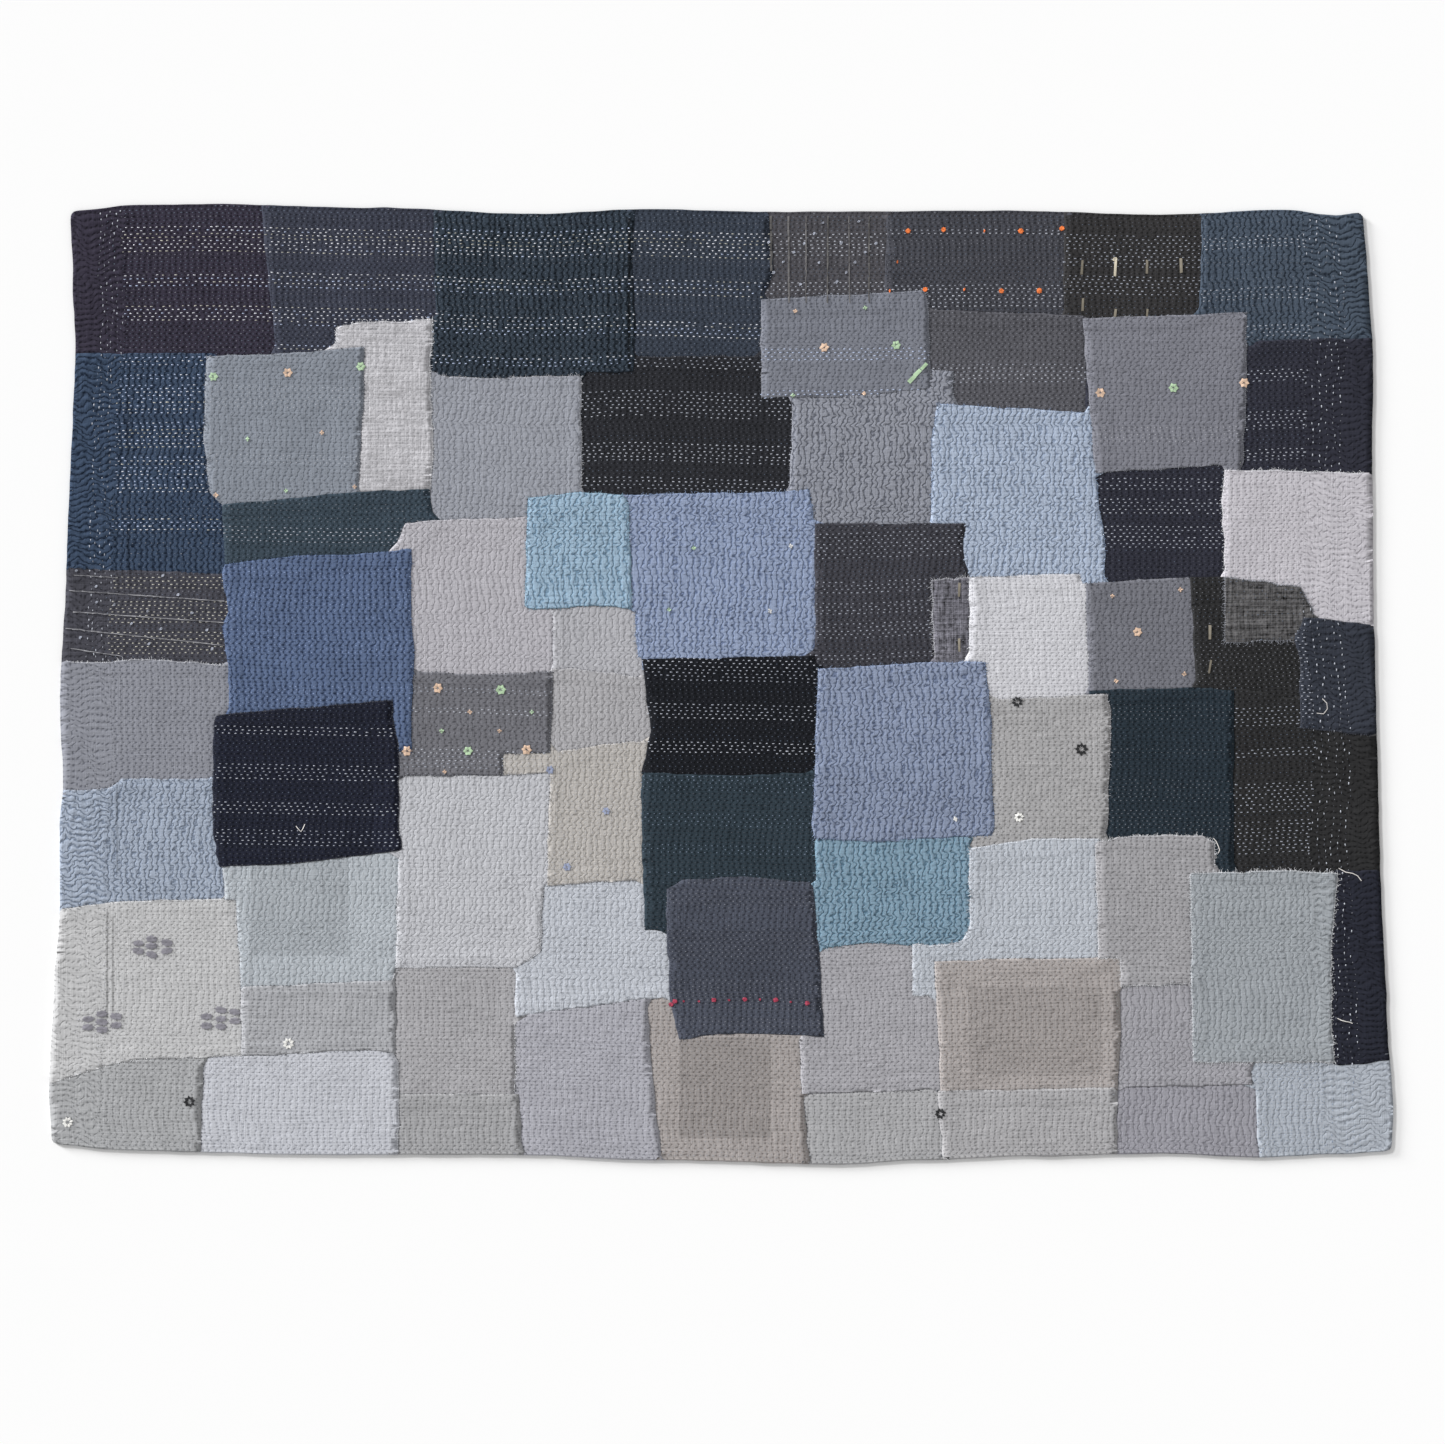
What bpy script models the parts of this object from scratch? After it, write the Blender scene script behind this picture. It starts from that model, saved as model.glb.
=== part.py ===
"""Kantha quilt, lying flat and face up.

One cloth: worn cotton pieces laid over a ground cloth and quilted together all over with close
rows of running stitch. Metres, +Z up, +X along the stitch rows, +Y towards the top edge.
The origin is the centre of the underside, on the surface that the quilt lies on.
"""

import math
from collections import namedtuple

import bmesh
import bpy

for old_object in list(bpy.data.objects):
    bpy.data.objects.remove(old_object, do_unlink=True)

# Size of the cloth
LENGTH = 2.130
WIDTH = 1.524

# Layers of the cloth, from the surface that it lies on
HEM_THICKNESS = 0.0022
TROUGH_THICKNESS = 0.0024
RIDGE_HEIGHT = 0.0014
SWELL_HEIGHT = 0.0008

# Rounding of the folded hem
HEM_MIDDLE = 0.0011
HEM_TOP_INSET = 0.0012
HEM_UNDER_INSET = 0.0010
HEM_BAND = 0.013

# Quilting, one ridge standing for a pair of the stitch rows
RIDGE_PITCH = 0.0127
RIDGE_WANDER = 0.0035
COLUMN_PITCH = 0.145

# The four corners, as set in from the cloth's bounding rectangle
Corner = namedtuple("Corner", "side_inset end_inset")
TOP_LEFT = Corner(side_inset=0.033, end_inset=0.011)
TOP_RIGHT = Corner(side_inset=0.047, end_inset=0.012)
BOTTOM_LEFT = Corner(side_inset=0.003, end_inset=0.032)
BOTTOM_RIGHT = Corner(side_inset=0.001, end_inset=0.021)

# How far each edge stands outside the straight line between its corners, along that line
Bulge = namedtuple("Bulge", "share out_mm")
TOP_BULGES = (
    Bulge(share=0.00, out_mm=0.0),
    Bulge(share=0.05, out_mm=9.5),
    Bulge(share=0.10, out_mm=11.0),
    Bulge(share=0.24, out_mm=5.0),
    Bulge(share=0.36, out_mm=-4.5),
    Bulge(share=0.44, out_mm=3.5),
    Bulge(share=0.54, out_mm=-0.8),
    Bulge(share=0.72, out_mm=1.0),
    Bulge(share=0.85, out_mm=-5.0),
    Bulge(share=0.94, out_mm=3.0),
    Bulge(share=0.98, out_mm=-7.0),
    Bulge(share=1.00, out_mm=0.0),
)
BOTTOM_BULGES = (
    Bulge(share=0.00, out_mm=0.0),
    Bulge(share=0.06, out_mm=9.0),
    Bulge(share=0.18, out_mm=14.0),
    Bulge(share=0.34, out_mm=12.5),
    Bulge(share=0.46, out_mm=20.0),
    Bulge(share=0.59, out_mm=25.0),
    Bulge(share=0.65, out_mm=17.0),
    Bulge(share=0.73, out_mm=10.5),
    Bulge(share=0.83, out_mm=5.0),
    Bulge(share=0.90, out_mm=10.5),
    Bulge(share=0.96, out_mm=4.5),
    Bulge(share=1.00, out_mm=0.0),
)
LEFT_BULGES = (
    Bulge(share=0.00, out_mm=0.0),
    Bulge(share=0.06, out_mm=5.5),
    Bulge(share=0.17, out_mm=0.8),
    Bulge(share=0.25, out_mm=-5.5),
    Bulge(share=0.35, out_mm=-2.5),
    Bulge(share=0.38, out_mm=-7.0),
    Bulge(share=0.48, out_mm=1.2),
    Bulge(share=0.62, out_mm=-5.5),
    Bulge(share=0.85, out_mm=-12.0),
    Bulge(share=0.93, out_mm=-6.0),
    Bulge(share=1.00, out_mm=0.0),
)
RIGHT_BULGES = (
    Bulge(share=0.00, out_mm=0.0),
    Bulge(share=0.05, out_mm=4.3),
    Bulge(share=0.13, out_mm=-0.8),
    Bulge(share=0.30, out_mm=-4.6),
    Bulge(share=0.55, out_mm=-2.7),
    Bulge(share=0.72, out_mm=1.9),
    Bulge(share=0.85, out_mm=9.0),
    Bulge(share=0.94, out_mm=4.0),
    Bulge(share=1.00, out_mm=0.0),
)


def corner_point(corner, side, end):
    """Returns a corner's place, where side is -1 at the left and end is -1 at the bottom."""
    return (side * (LENGTH / 2 - corner.side_inset), end * (WIDTH / 2 - corner.end_inset))


def bulge_at(bulges, share):
    """Returns an edge's bulge in metres, eased from one row of its table to the next."""
    for near, far in zip(bulges, bulges[1:]):
        if share <= far.share:
            part = (share - near.share) / (far.share - near.share)
            ease = part * part * (3 - 2 * part)
            return (near.out_mm + (far.out_mm - near.out_mm) * ease) / 1000
    return bulges[-1].out_mm / 1000


def edge_point(start, end, bulges, share, outward):
    """Returns the point at a share of the way along an edge, with its bulge."""
    out = bulge_at(bulges, share)
    x = start[0] + (end[0] - start[0]) * share + outward[0] * out
    y = start[1] + (end[1] - start[1]) * share + outward[1] * out
    return x, y


def cloth_point(across, up):
    """Returns the plan place of a point of the cloth, from its shares of the four wavy edges."""
    low_left = corner_point(BOTTOM_LEFT, -1, -1)
    low_right = corner_point(BOTTOM_RIGHT, 1, -1)
    top_left = corner_point(TOP_LEFT, -1, 1)
    top_right = corner_point(TOP_RIGHT, 1, 1)
    bottom = edge_point(low_left, low_right, BOTTOM_BULGES, across, (0, -1))
    top = edge_point(top_left, top_right, TOP_BULGES, across, (0, 1))
    left = edge_point(low_left, top_left, LEFT_BULGES, up, (-1, 0))
    right = edge_point(low_right, top_right, RIGHT_BULGES, up, (1, 0))
    point = []
    for axis in (0, 1):
        ruled = (1 - up) * bottom[axis] + up * top[axis] + (1 - across) * left[axis] + across * right[axis]
        low = (1 - across) * low_left[axis] + across * low_right[axis]
        high = (1 - across) * top_left[axis] + across * top_right[axis]
        point.append(ruled - (1 - up) * low - up * high)
    return point


def row_wander(across, up):
    """Returns how far the hand-sewn rows stray from straight, which is nothing at the hems."""
    inside = math.sin(math.pi * up) * math.sin(math.pi * across)
    slow = math.sin(5.3 * across + 2.0 * up) + 0.6 * math.sin(11.0 * across - 4.0 * up + 1.3)
    return RIDGE_WANDER * inside * slow / 1.6


def swell(across, up):
    """Returns the soft rise and fall of the layers, from 0 to 1."""
    waves = math.sin(9.0 * across + 4.0 * up) + math.sin(13.0 * up - 6.0 * across + 0.8)
    waves += 0.7 * math.sin(21.0 * across + 17.0 * up + 2.1)
    return (waves / 2.7 + 1) / 2


def face_height(across, up, on_ridge):
    """Returns the height of the quilted face at a ridge's crest or at the stitches beside it."""
    height = TROUGH_THICKNESS + SWELL_HEIGHT * swell(across, up)
    if on_ridge:
        height += RIDGE_HEIGHT * (0.75 + 0.25 * swell(up, across))
    return height


def column_shares():
    """Returns the shares of the length at which the face has its columns of points."""
    hem = HEM_BAND / LENGTH
    count = round((LENGTH - 2 * HEM_BAND) / COLUMN_PITCH)
    inner = [hem + (1 - 2 * hem) * index / count for index in range(count + 1)]
    return [0.0] + inner + [1.0]


def row_shares():
    """Returns the shares of the width at which the face has its rows, crests and troughs in turn."""
    hem = HEM_BAND / WIDTH
    ridges = round((WIDTH - 2 * HEM_BAND) / RIDGE_PITCH)
    inner = [hem + (1 - 2 * hem) * index / (2 * ridges) for index in range(2 * ridges + 1)]
    return [0.0] + inner + [1.0]


def quilted_face(mesh, columns, rows):
    """Adds the top face, set in a little from the outline, and returns its points by row."""
    grid = []
    last_row = len(rows) - 1
    last_column = len(columns) - 1
    for row, up in enumerate(rows):
        line = []
        for column, across in enumerate(columns):
            x, y = cloth_point(across, up)
            y += row_wander(across, up)
            x += HEM_TOP_INSET * ((column == 0) - (column == last_column))
            y += HEM_TOP_INSET * ((row == 0) - (row == last_row))
            on_hem = row in (0, last_row) or column in (0, last_column)
            height = HEM_THICKNESS if on_hem else face_height(across, up, row % 2 == 0)
            line.append(mesh.verts.new((x, y, height)))
        grid.append(line)
    for low, high in zip(grid, grid[1:]):
        for column in range(last_column):
            mesh.faces.new((low[column], low[column + 1], high[column + 1], high[column]))
    return grid


def rim_of(grid):
    """Returns the points round a grid, anticlockwise from its low left corner."""
    right = [line[-1] for line in grid[1:-1]]
    left = [line[0] for line in reversed(grid[1:-1])]
    return grid[0] + right + grid[-1][::-1] + left


def hem_ring(mesh, columns, rows, inset, height):
    """Adds one ring of the folded hem, in the order of rim_of, and returns its points."""
    low = [(across, 0.0) for across in columns]
    high = [(across, 1.0) for across in reversed(columns)]
    right = [(1.0, up) for up in rows[1:-1]]
    left = [(0.0, up) for up in reversed(rows[1:-1])]
    ring = []
    for across, up in low + right + high + left:
        x, y = cloth_point(across, up)
        x += inset * ((across == 0.0) - (across == 1.0))
        y += inset * ((up == 0.0) - (up == 1.0))
        ring.append(mesh.verts.new((x, y, height)))
    return ring


def join_rings(mesh, upper, lower):
    """Joins two rings of equal count with a band of faces that look outwards."""
    count = len(upper)
    for index in range(count):
        after = (index + 1) % count
        mesh.faces.new((lower[index], lower[after], upper[after], upper[index]))


def underside(mesh, ring, column_count, row_count):
    """Closes the flat underside with one strip from hem to hem for each pair of rows."""
    low = ring[:column_count]
    right = ring[column_count:column_count + row_count - 2]
    high = ring[column_count + row_count - 2:2 * column_count + row_count - 2]
    left = ring[2 * column_count + row_count - 2:][::-1]
    mesh.faces.new([left[0], right[0]] + low[::-1])
    for row in range(row_count - 3):
        mesh.faces.new((left[row + 1], right[row + 1], right[row], left[row]))
    mesh.faces.new(high[::-1] + [right[-1], left[-1]])


def quilted_cotton():
    """Returns the plain cotton of the solid, a dark blue grey like most of the pieces."""
    material = bpy.data.materials.new("quilted_cotton")
    material.use_nodes = True
    shader = material.node_tree.nodes["Principled BSDF"]
    shader.inputs["Base Color"].default_value = (0.16, 0.18, 0.23, 1.0)
    shader.inputs["Roughness"].default_value = 0.9
    shader.inputs["Metallic"].default_value = 0.0
    return material


def make_quilt():
    """Builds the whole quilt as one closed solid with its origin at the centre of its underside."""
    columns = column_shares()
    rows = row_shares()
    mesh = bmesh.new()
    grid = quilted_face(mesh, columns, rows)
    middle = hem_ring(mesh, columns, rows, 0.0, HEM_MIDDLE)
    under = hem_ring(mesh, columns, rows, HEM_UNDER_INSET, 0.0)
    join_rings(mesh, rim_of(grid), middle)
    join_rings(mesh, middle, under)
    underside(mesh, under, len(columns), len(rows))
    for axis in (0, 1):
        places = [vert.co[axis] for vert in mesh.verts]
        centre = (min(places) + max(places)) / 2
        for vert in mesh.verts:
            vert.co[axis] -= centre
    bmesh.ops.triangulate(mesh, faces=mesh.faces[:])
    data = bpy.data.meshes.new("quilt")
    mesh.to_mesh(data)
    mesh.free()
    data.materials.append(quilted_cotton())
    quilt = bpy.data.objects.new("quilt", data)
    bpy.context.scene.collection.objects.link(quilt)
    return quilt


make_quilt()
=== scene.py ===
"""Looks of the kantha quilt: its worn cotton pieces, running stitches, motifs and frayed edges.

Metres, +Z up, +X along the stitch rows, +Y to the top edge, origin under the quilt's centre.
"""

import math
from collections import namedtuple

import bpy
import numpy as np
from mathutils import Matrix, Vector


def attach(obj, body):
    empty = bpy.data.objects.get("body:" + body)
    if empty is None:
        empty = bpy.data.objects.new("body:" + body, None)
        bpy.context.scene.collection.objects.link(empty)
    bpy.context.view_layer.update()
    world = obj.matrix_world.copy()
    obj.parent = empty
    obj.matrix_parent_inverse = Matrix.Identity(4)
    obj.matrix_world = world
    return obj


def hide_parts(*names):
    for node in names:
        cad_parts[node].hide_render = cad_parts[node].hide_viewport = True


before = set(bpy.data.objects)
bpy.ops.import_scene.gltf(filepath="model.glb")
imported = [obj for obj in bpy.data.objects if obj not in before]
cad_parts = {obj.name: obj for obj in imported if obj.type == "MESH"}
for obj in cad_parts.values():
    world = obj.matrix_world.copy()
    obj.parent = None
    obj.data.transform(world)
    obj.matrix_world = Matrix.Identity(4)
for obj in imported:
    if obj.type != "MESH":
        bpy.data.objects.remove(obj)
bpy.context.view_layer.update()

# Camera
# It looks straight down on the laid quilt through a long lens, a little below the quilt's centre.
CAMERA_AIM = (0.0036, -0.0600)
CAMERA_HEIGHT = 6.0
SEEN_WIDTH = 2.2937
camera_data = bpy.data.cameras.new("camera")
camera_data.sensor_fit = "HORIZONTAL"
camera_data.lens = camera_data.sensor_width * CAMERA_HEIGHT / SEEN_WIDTH
camera = bpy.data.objects.new("camera", camera_data)
camera.location = (*CAMERA_AIM, CAMERA_HEIGHT)
bpy.context.scene.collection.objects.link(camera)
bpy.context.scene.camera = camera
bpy.context.scene.view_settings.view_transform = "Standard"

# Studio light
# A soft key light from the upper left, a lower one that draws the short shadow, and a white room.
LIGHTS = (
    # name, direction of travel, strength, angle across in degrees
    ("key_light", (0.66, -0.62, -0.47), 1.95, 9),
    ("low_light", (0.82, -0.57, -0.185), 3.60, 13),
)
for light_name, travel, strength, across in LIGHTS:
    light_data = bpy.data.lights.new(light_name, "SUN")
    light_data.energy = strength
    light_data.angle = math.radians(across)
    light = bpy.data.objects.new(light_name, light_data)
    light.rotation_euler = Vector(travel).to_track_quat("-Z", "Y").to_euler()
    bpy.context.scene.collection.objects.link(light)
room = bpy.data.worlds.new("white_room")
room.use_nodes = True
room.node_tree.nodes["Background"].inputs["Color"].default_value = (1.0, 1.0, 1.0, 1.0)
room.node_tree.nodes["Background"].inputs["Strength"].default_value = 0.485
bpy.context.scene.world = room

# Floor
# The plain white surface that the quilt is laid out on.
FLOOR_SIDE = 14.0
bpy.ops.object.select_all(action="DESELECT")
bpy.ops.mesh.primitive_plane_add(size=FLOOR_SIDE, location=(0, 0, -0.0002))
floor = bpy.context.object
floor.name = "floor"
floor_paint = bpy.data.materials.new("white_floor")
floor_paint.use_nodes = True
floor_paint.node_tree.nodes["Principled BSDF"].inputs["Base Color"].default_value = (1.0, 1.0, 1.0, 1)
floor_paint.node_tree.nodes["Principled BSDF"].inputs["Roughness"].default_value = 0.95
floor_paint.node_tree.nodes["Principled BSDF"].inputs["Specular IOR Level"].default_value = 0.0
floor.data.materials.append(floor_paint)

# Ground cloth
# The old cotton that carries the patches, with its edges turned in, and the stitch rows that pass
# through all the layers. Its four edges wave as the solid's do, and the rows follow them.
LENGTH = 2.130
WIDTH = 1.524
CORNER_INSETS = {
    "top_left": (0.033, 0.011),
    "top_right": (0.047, 0.012),
    "bottom_left": (0.003, 0.032),
    "bottom_right": (0.001, 0.021),
}
# Each row: the share of the way along the edge, and how far it stands outside a straight line in mm
TOP_BULGES = (
    (0.00, 0.0), (0.05, 9.5), (0.10, 11.0), (0.24, 5.0), (0.36, -4.5), (0.44, 3.5),
    (0.54, -0.8), (0.72, 1.0), (0.85, -5.0), (0.94, 3.0), (0.98, -7.0), (1.00, 0.0),
)
BOTTOM_BULGES = (
    (0.00, 0.0), (0.06, 9.0), (0.18, 14.0), (0.34, 12.5), (0.46, 20.0), (0.59, 25.0),
    (0.65, 17.0), (0.73, 10.5), (0.83, 5.0), (0.90, 10.5), (0.96, 4.5), (1.00, 0.0),
)
LEFT_BULGES = (
    (0.00, 0.0), (0.06, 5.5), (0.17, 0.8), (0.25, -5.5), (0.35, -2.5), (0.38, -7.0),
    (0.48, 1.2), (0.62, -5.5), (0.85, -12.0), (0.93, -6.0), (1.00, 0.0),
)
RIGHT_BULGES = (
    (0.00, 0.0), (0.05, 4.3), (0.13, -0.8), (0.30, -4.6), (0.55, -2.7), (0.72, 1.9),
    (0.85, 9.0), (0.94, 4.0), (1.00, 0.0),
)
STITCH_COUNT = 213
ROW_COUNT = 275
OUTLINE_SHIFT = (0.0013, -0.0002)
BASE_HEIGHT = 0.0026
SWELL_HEIGHT = 0.0008
RIDGE_HEIGHT = 0.0010
PUCKER_HEIGHT = 0.0014
LAYER_STEP = 0.00045

draws = np.random.default_rng(1947)


def corner_of(name):
    """Returns a corner's place in plan."""
    side = -1 if "left" in name else 1
    end = -1 if "bottom" in name else 1
    side_inset, end_inset = CORNER_INSETS[name]
    return np.array((side * (LENGTH / 2 - side_inset), end * (WIDTH / 2 - end_inset)))


def bulge_at(bulges, share):
    """Returns how far an edge stands out at the given shares, eased between its rows."""
    shares, outs = np.array(bulges).T
    index = np.clip(np.searchsorted(shares, share, side="left"), 1, len(shares) - 1)
    part = np.clip((share - shares[index - 1]) / (shares[index] - shares[index - 1]), 0, 1)
    ease = part * part * (3 - 2 * part)
    return (outs[index - 1] + (outs[index] - outs[index - 1]) * ease) / 1000


def cloth_plan(across, up):
    """Returns the plan place of points at these shares of the cloth's length and width."""
    low_left, low_right = corner_of("bottom_left"), corner_of("bottom_right")
    top_left, top_right = corner_of("top_left"), corner_of("top_right")
    shares = np.stack((across, up), axis=-1)
    across, up = shares[..., :1], shares[..., 1:]
    plan = (1 - up) * ((1 - across) * low_left + across * low_right)
    plan = plan + up * ((1 - across) * top_left + across * top_right)
    plan[..., 1] -= ((1 - up) * bulge_at(BOTTOM_BULGES, across))[..., 0]
    plan[..., 1] += (up * bulge_at(TOP_BULGES, across))[..., 0]
    plan[..., 0] -= ((1 - across) * bulge_at(LEFT_BULGES, up))[..., 0]
    plan[..., 0] += (across * bulge_at(RIGHT_BULGES, up))[..., 0]
    return plan + np.array(OUTLINE_SHIFT)


def wandering(count, step, pull):
    """Returns numbers that wander from row to row, pulled back towards nothing."""
    walk = np.zeros(count)
    for index in range(1, count):
        walk[index] = pull * walk[index - 1] + draws.normal(0, step)
    return walk


ROW_START = wandering(ROW_COUNT + 1, 0.10, 0.97)
uneven_steps = 1 + 0.3 * wandering(ROW_COUNT + 1, 0.3, 0.9)
ROW_START += 0.20 * np.cos(math.pi * np.arange(ROW_COUNT + 1)) * uneven_steps
ROW_SWAY = 0.35 + wandering(ROW_COUNT + 1, 0.06, 0.95)
ROW_SWAY_PHASE = wandering(ROW_COUNT + 1, 0.30, 0.999)
ROW_RISE = wandering(ROW_COUNT + 1, 0.0003, 0.5)


def by_row(values, row):
    """Returns the values of whole rows, blended at places between them."""
    return np.interp(row, np.arange(len(values)) + 0.0, values)


def stitch_plan(stitch, row):
    """Returns the plan place of points counted in stitches along a row and in rows from the bottom."""
    sway = by_row(ROW_SWAY, row) * np.sin(stitch * 0.075 + by_row(ROW_SWAY_PHASE, row))
    across = (stitch + by_row(ROW_START, row) + sway) / STITCH_COUNT
    up = (row + 0.5) / ROW_COUNT
    plan = cloth_plan(across, up)
    inside = np.sin(math.pi * np.clip(up, 0, 1)) * np.sin(math.pi * np.clip(across, 0, 1))
    slow = np.sin(5.3 * across + 2.0 * up) + 0.6 * np.sin(11.0 * across - 4.0 * up + 1.3)
    quick = 0.35 * np.sin(31.0 * across + 9.0 * up) + 0.25 * np.sin(57.0 * across - 21.0 * up)
    plan[..., 1] += inside * (0.0022 * slow + 0.0022 * quick + by_row(ROW_RISE, row))
    return plan


def stitch_place(plan):
    """Returns the count in stitches and in rows of points given in plan."""
    stitch = (plan[:, 0] / LENGTH + 0.5) * STITCH_COUNT
    row = (plan[:, 1] / WIDTH + 0.5) * ROW_COUNT
    for _ in range(5):
        off = plan - stitch_plan(stitch, row)
        stitch = stitch + off[:, 0] / LENGTH * STITCH_COUNT
        row = row + off[:, 1] / WIDTH * ROW_COUNT
    return stitch, row


# The stitches and creases turn through a right angle in the side borders, where the sewing runs up
# and down: left of the first count of stitches and right of the second
SIDE_BORDERS = (8.0, 202.1)
SIDE_STITCH = 0.554
SIDE_COLUMN = 1.25


def in_side_border(stitch):
    """Tells which places lie in the two side borders."""
    return (stitch < SIDE_BORDERS[0]) | (stitch > SIDE_BORDERS[1])


def side_place(stitch, row):
    """Returns the count in stitches and columns for places in the side borders."""
    bend = 0.45 * np.sin(stitch * 1.1 + row * 0.23) + 0.40 * np.sin(row * 0.11 - stitch * 0.7)
    bend = bend + 0.30 * np.sin(row * 0.37 + stitch * 1.9)
    return row * SIDE_STITCH + bend, stitch * SIDE_COLUMN


def scatter(stitch, row):
    """Returns a small fixed unevenness, from -1 to 1, for each place of the stitch rows."""
    mixed = np.sin(np.round(stitch * 2) * 12.9898 + np.round(row * 2) * 78.233) * 43758.5453
    return 2 * (mixed - np.floor(mixed)) - 1


def quilted_height(stitch, row, puff):
    """Returns the height of the quilted layers, drawn in by the stitches and puffed between them."""
    across, up = stitch / STITCH_COUNT, row / ROW_COUNT
    swell = np.sin(9.0 * across + 4.0 * up) + np.sin(13.0 * up - 6.0 * across + 0.8)
    swell = swell + 0.7 * np.sin(21.0 * across + 17.0 * up + 2.1)
    swell = swell + 0.5 * np.sin(61.0 * across - 33.0 * up) + 0.4 * np.sin(48.0 * up + 37.0 * across)
    side = in_side_border(stitch)
    side_stitch, side_column = side_place(stitch, row)
    uneven = scatter(stitch, row)
    across, down = np.where(side, side_stitch, stitch), np.where(side, side_column, row)
    patchy = 1 + 0.35 * np.sin(0.31 * across + 0.17 * down) * np.sin(0.12 * across - 0.29 * down)
    across = across + 0.14 * np.sin(0.83 * down + 1.31 * across) + 0.10 * np.sin(2.1 * down - 0.47 * across)
    ridge = 0.5 - 0.5 * np.cos(2 * math.pi * down)
    pucker = 0.5 + 0.5 * np.cos(2 * math.pi * across)
    rise = RIDGE_HEIGHT * ridge * (0.5 + 0.5 * pucker) + PUCKER_HEIGHT * pucker * (0.55 + 0.45 * ridge)
    rise = rise * patchy * (1 + 0.35 * uneven) * np.where(side, 0.65 + 0.6 * puff, 1.0)
    return BASE_HEIGHT + SWELL_HEIGHT * (swell / 7 + 0.5) + puff * rise


def inside_outline(plan, outline):
    """Tells which points lie inside a closed outline."""
    x, y = plan[:, 0], plan[:, 1]
    found = np.zeros(len(plan), bool)
    for (x0, y0), (x1, y1) in zip(outline, np.roll(outline, -1, axis=0)):
        if y0 != y1:
            found ^= ((y0 > y) != (y1 > y)) & (x < (x1 - x0) * (y - y0) / (y1 - y0) + x0)
    return found


def nearest_on_outline(plan, outline):
    """Returns each point's nearest point on a closed outline, and the distance to it."""
    best = np.full(len(plan), np.inf)
    place = plan.copy()
    for start, end in zip(outline, np.roll(outline, -1, axis=0)):
        along = end - start
        share = np.clip(((plan - start) @ along) / max(along @ along, 1e-12), 0, 1)
        point = start + share[:, None] * along
        gap = np.hypot(*(plan - point).T)
        closer = gap < best
        best[closer] = gap[closer]
        place[closer] = point[closer]
    return place, best


def depth_inside(plan, outline):
    """Returns how deep each point lies inside an outline, less than nothing outside it."""
    depth = np.full(len(plan), -1.0)
    low, high = outline.min(axis=0) - 0.02, outline.max(axis=0) + 0.02
    near = ((plan > low) & (plan < high)).all(axis=1)
    if near.any():
        gap = nearest_on_outline(plan[near], outline)[1]
        depth[near] = np.where(inside_outline(plan[near], outline), gap, -gap)
    return depth


def cloth_outline(steps=220):
    """Returns the whole quilt's outline in plan, anticlockwise, with rounded corners and a ripple."""
    share = np.linspace(0, 1, steps, endpoint=False)
    nought, one = np.zeros(steps), np.ones(steps)
    sides = ((share, nought), (one, share), (1 - share, one), (nought, 1 - share))
    outline = np.concatenate([cloth_plan(across, up) for across, up in sides])
    outline = outline + draws.normal(0, 0.0006, outline.shape)
    for _ in range(2):
        outline = (np.roll(outline, 1, axis=0) + 2 * outline + np.roll(outline, -1, axis=0)) / 4
    return outline


CLOTH_OUTLINE = cloth_outline()


def stitch_grid(name, outline, along, down):
    """Adds a flat grid over an outline, its points counted in stitches and rows as yet."""
    stitch, row = stitch_place(outline)
    low = np.floor(np.array((stitch.min(), row.min()))) - 2
    high = np.ceil(np.array((stitch.max(), row.max()))) + 2
    low[1], high[1] = max(low[1], -1), min(high[1], ROW_COUNT)
    cells = np.round((high - low) / np.array((along, down))).astype(int)
    bpy.ops.object.select_all(action="DESELECT")
    bpy.ops.mesh.primitive_grid_add(x_subdivisions=cells[0], y_subdivisions=cells[1], size=1)
    piece = bpy.context.object
    piece.name = piece.data.name = name
    spots = points_of(piece)
    spots[:, :2] = low + (spots[:, :2] + 0.5) * (high - low)
    give_points(piece, spots)
    return piece


def points_of(piece):
    """Returns the points of a piece's mesh."""
    spots = np.empty(len(piece.data.vertices) * 3, np.float32)
    piece.data.vertices.foreach_get("co", spots)
    return spots.reshape(-1, 3).astype(float)


def give_points(piece, spots):
    """Moves the points of a piece's mesh."""
    piece.data.vertices.foreach_set("co", spots.astype(np.float32).ravel())
    piece.data.update()


def face_centres(piece):
    """Returns the centres of a piece's faces."""
    centres = np.empty(len(piece.data.polygons) * 3, np.float32)
    piece.data.polygons.foreach_get("center", centres)
    return centres.reshape(-1, 3).astype(float)


def cut_away(piece, unwanted):
    """Deletes the faces marked as unwanted."""
    bpy.context.tool_settings.mesh_select_mode = (False, False, True)
    piece.data.polygons.foreach_set("select", unwanted)
    bpy.ops.object.mode_set(mode="EDIT")
    bpy.ops.mesh.delete(type="FACE")
    bpy.ops.object.mode_set(mode="OBJECT")


def open_edges(piece):
    """Returns the points at the two ends of each edge that has a face on one side only."""
    edge_of = np.empty(len(piece.data.loops), np.int32)
    piece.data.loops.foreach_get("edge_index", edge_of)
    ends = np.empty(len(piece.data.edges) * 2, np.int32)
    piece.data.edges.foreach_get("vertices", ends)
    uses = np.bincount(edge_of, minlength=len(piece.data.edges))
    return ends.reshape(-1, 2), uses == 1


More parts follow.
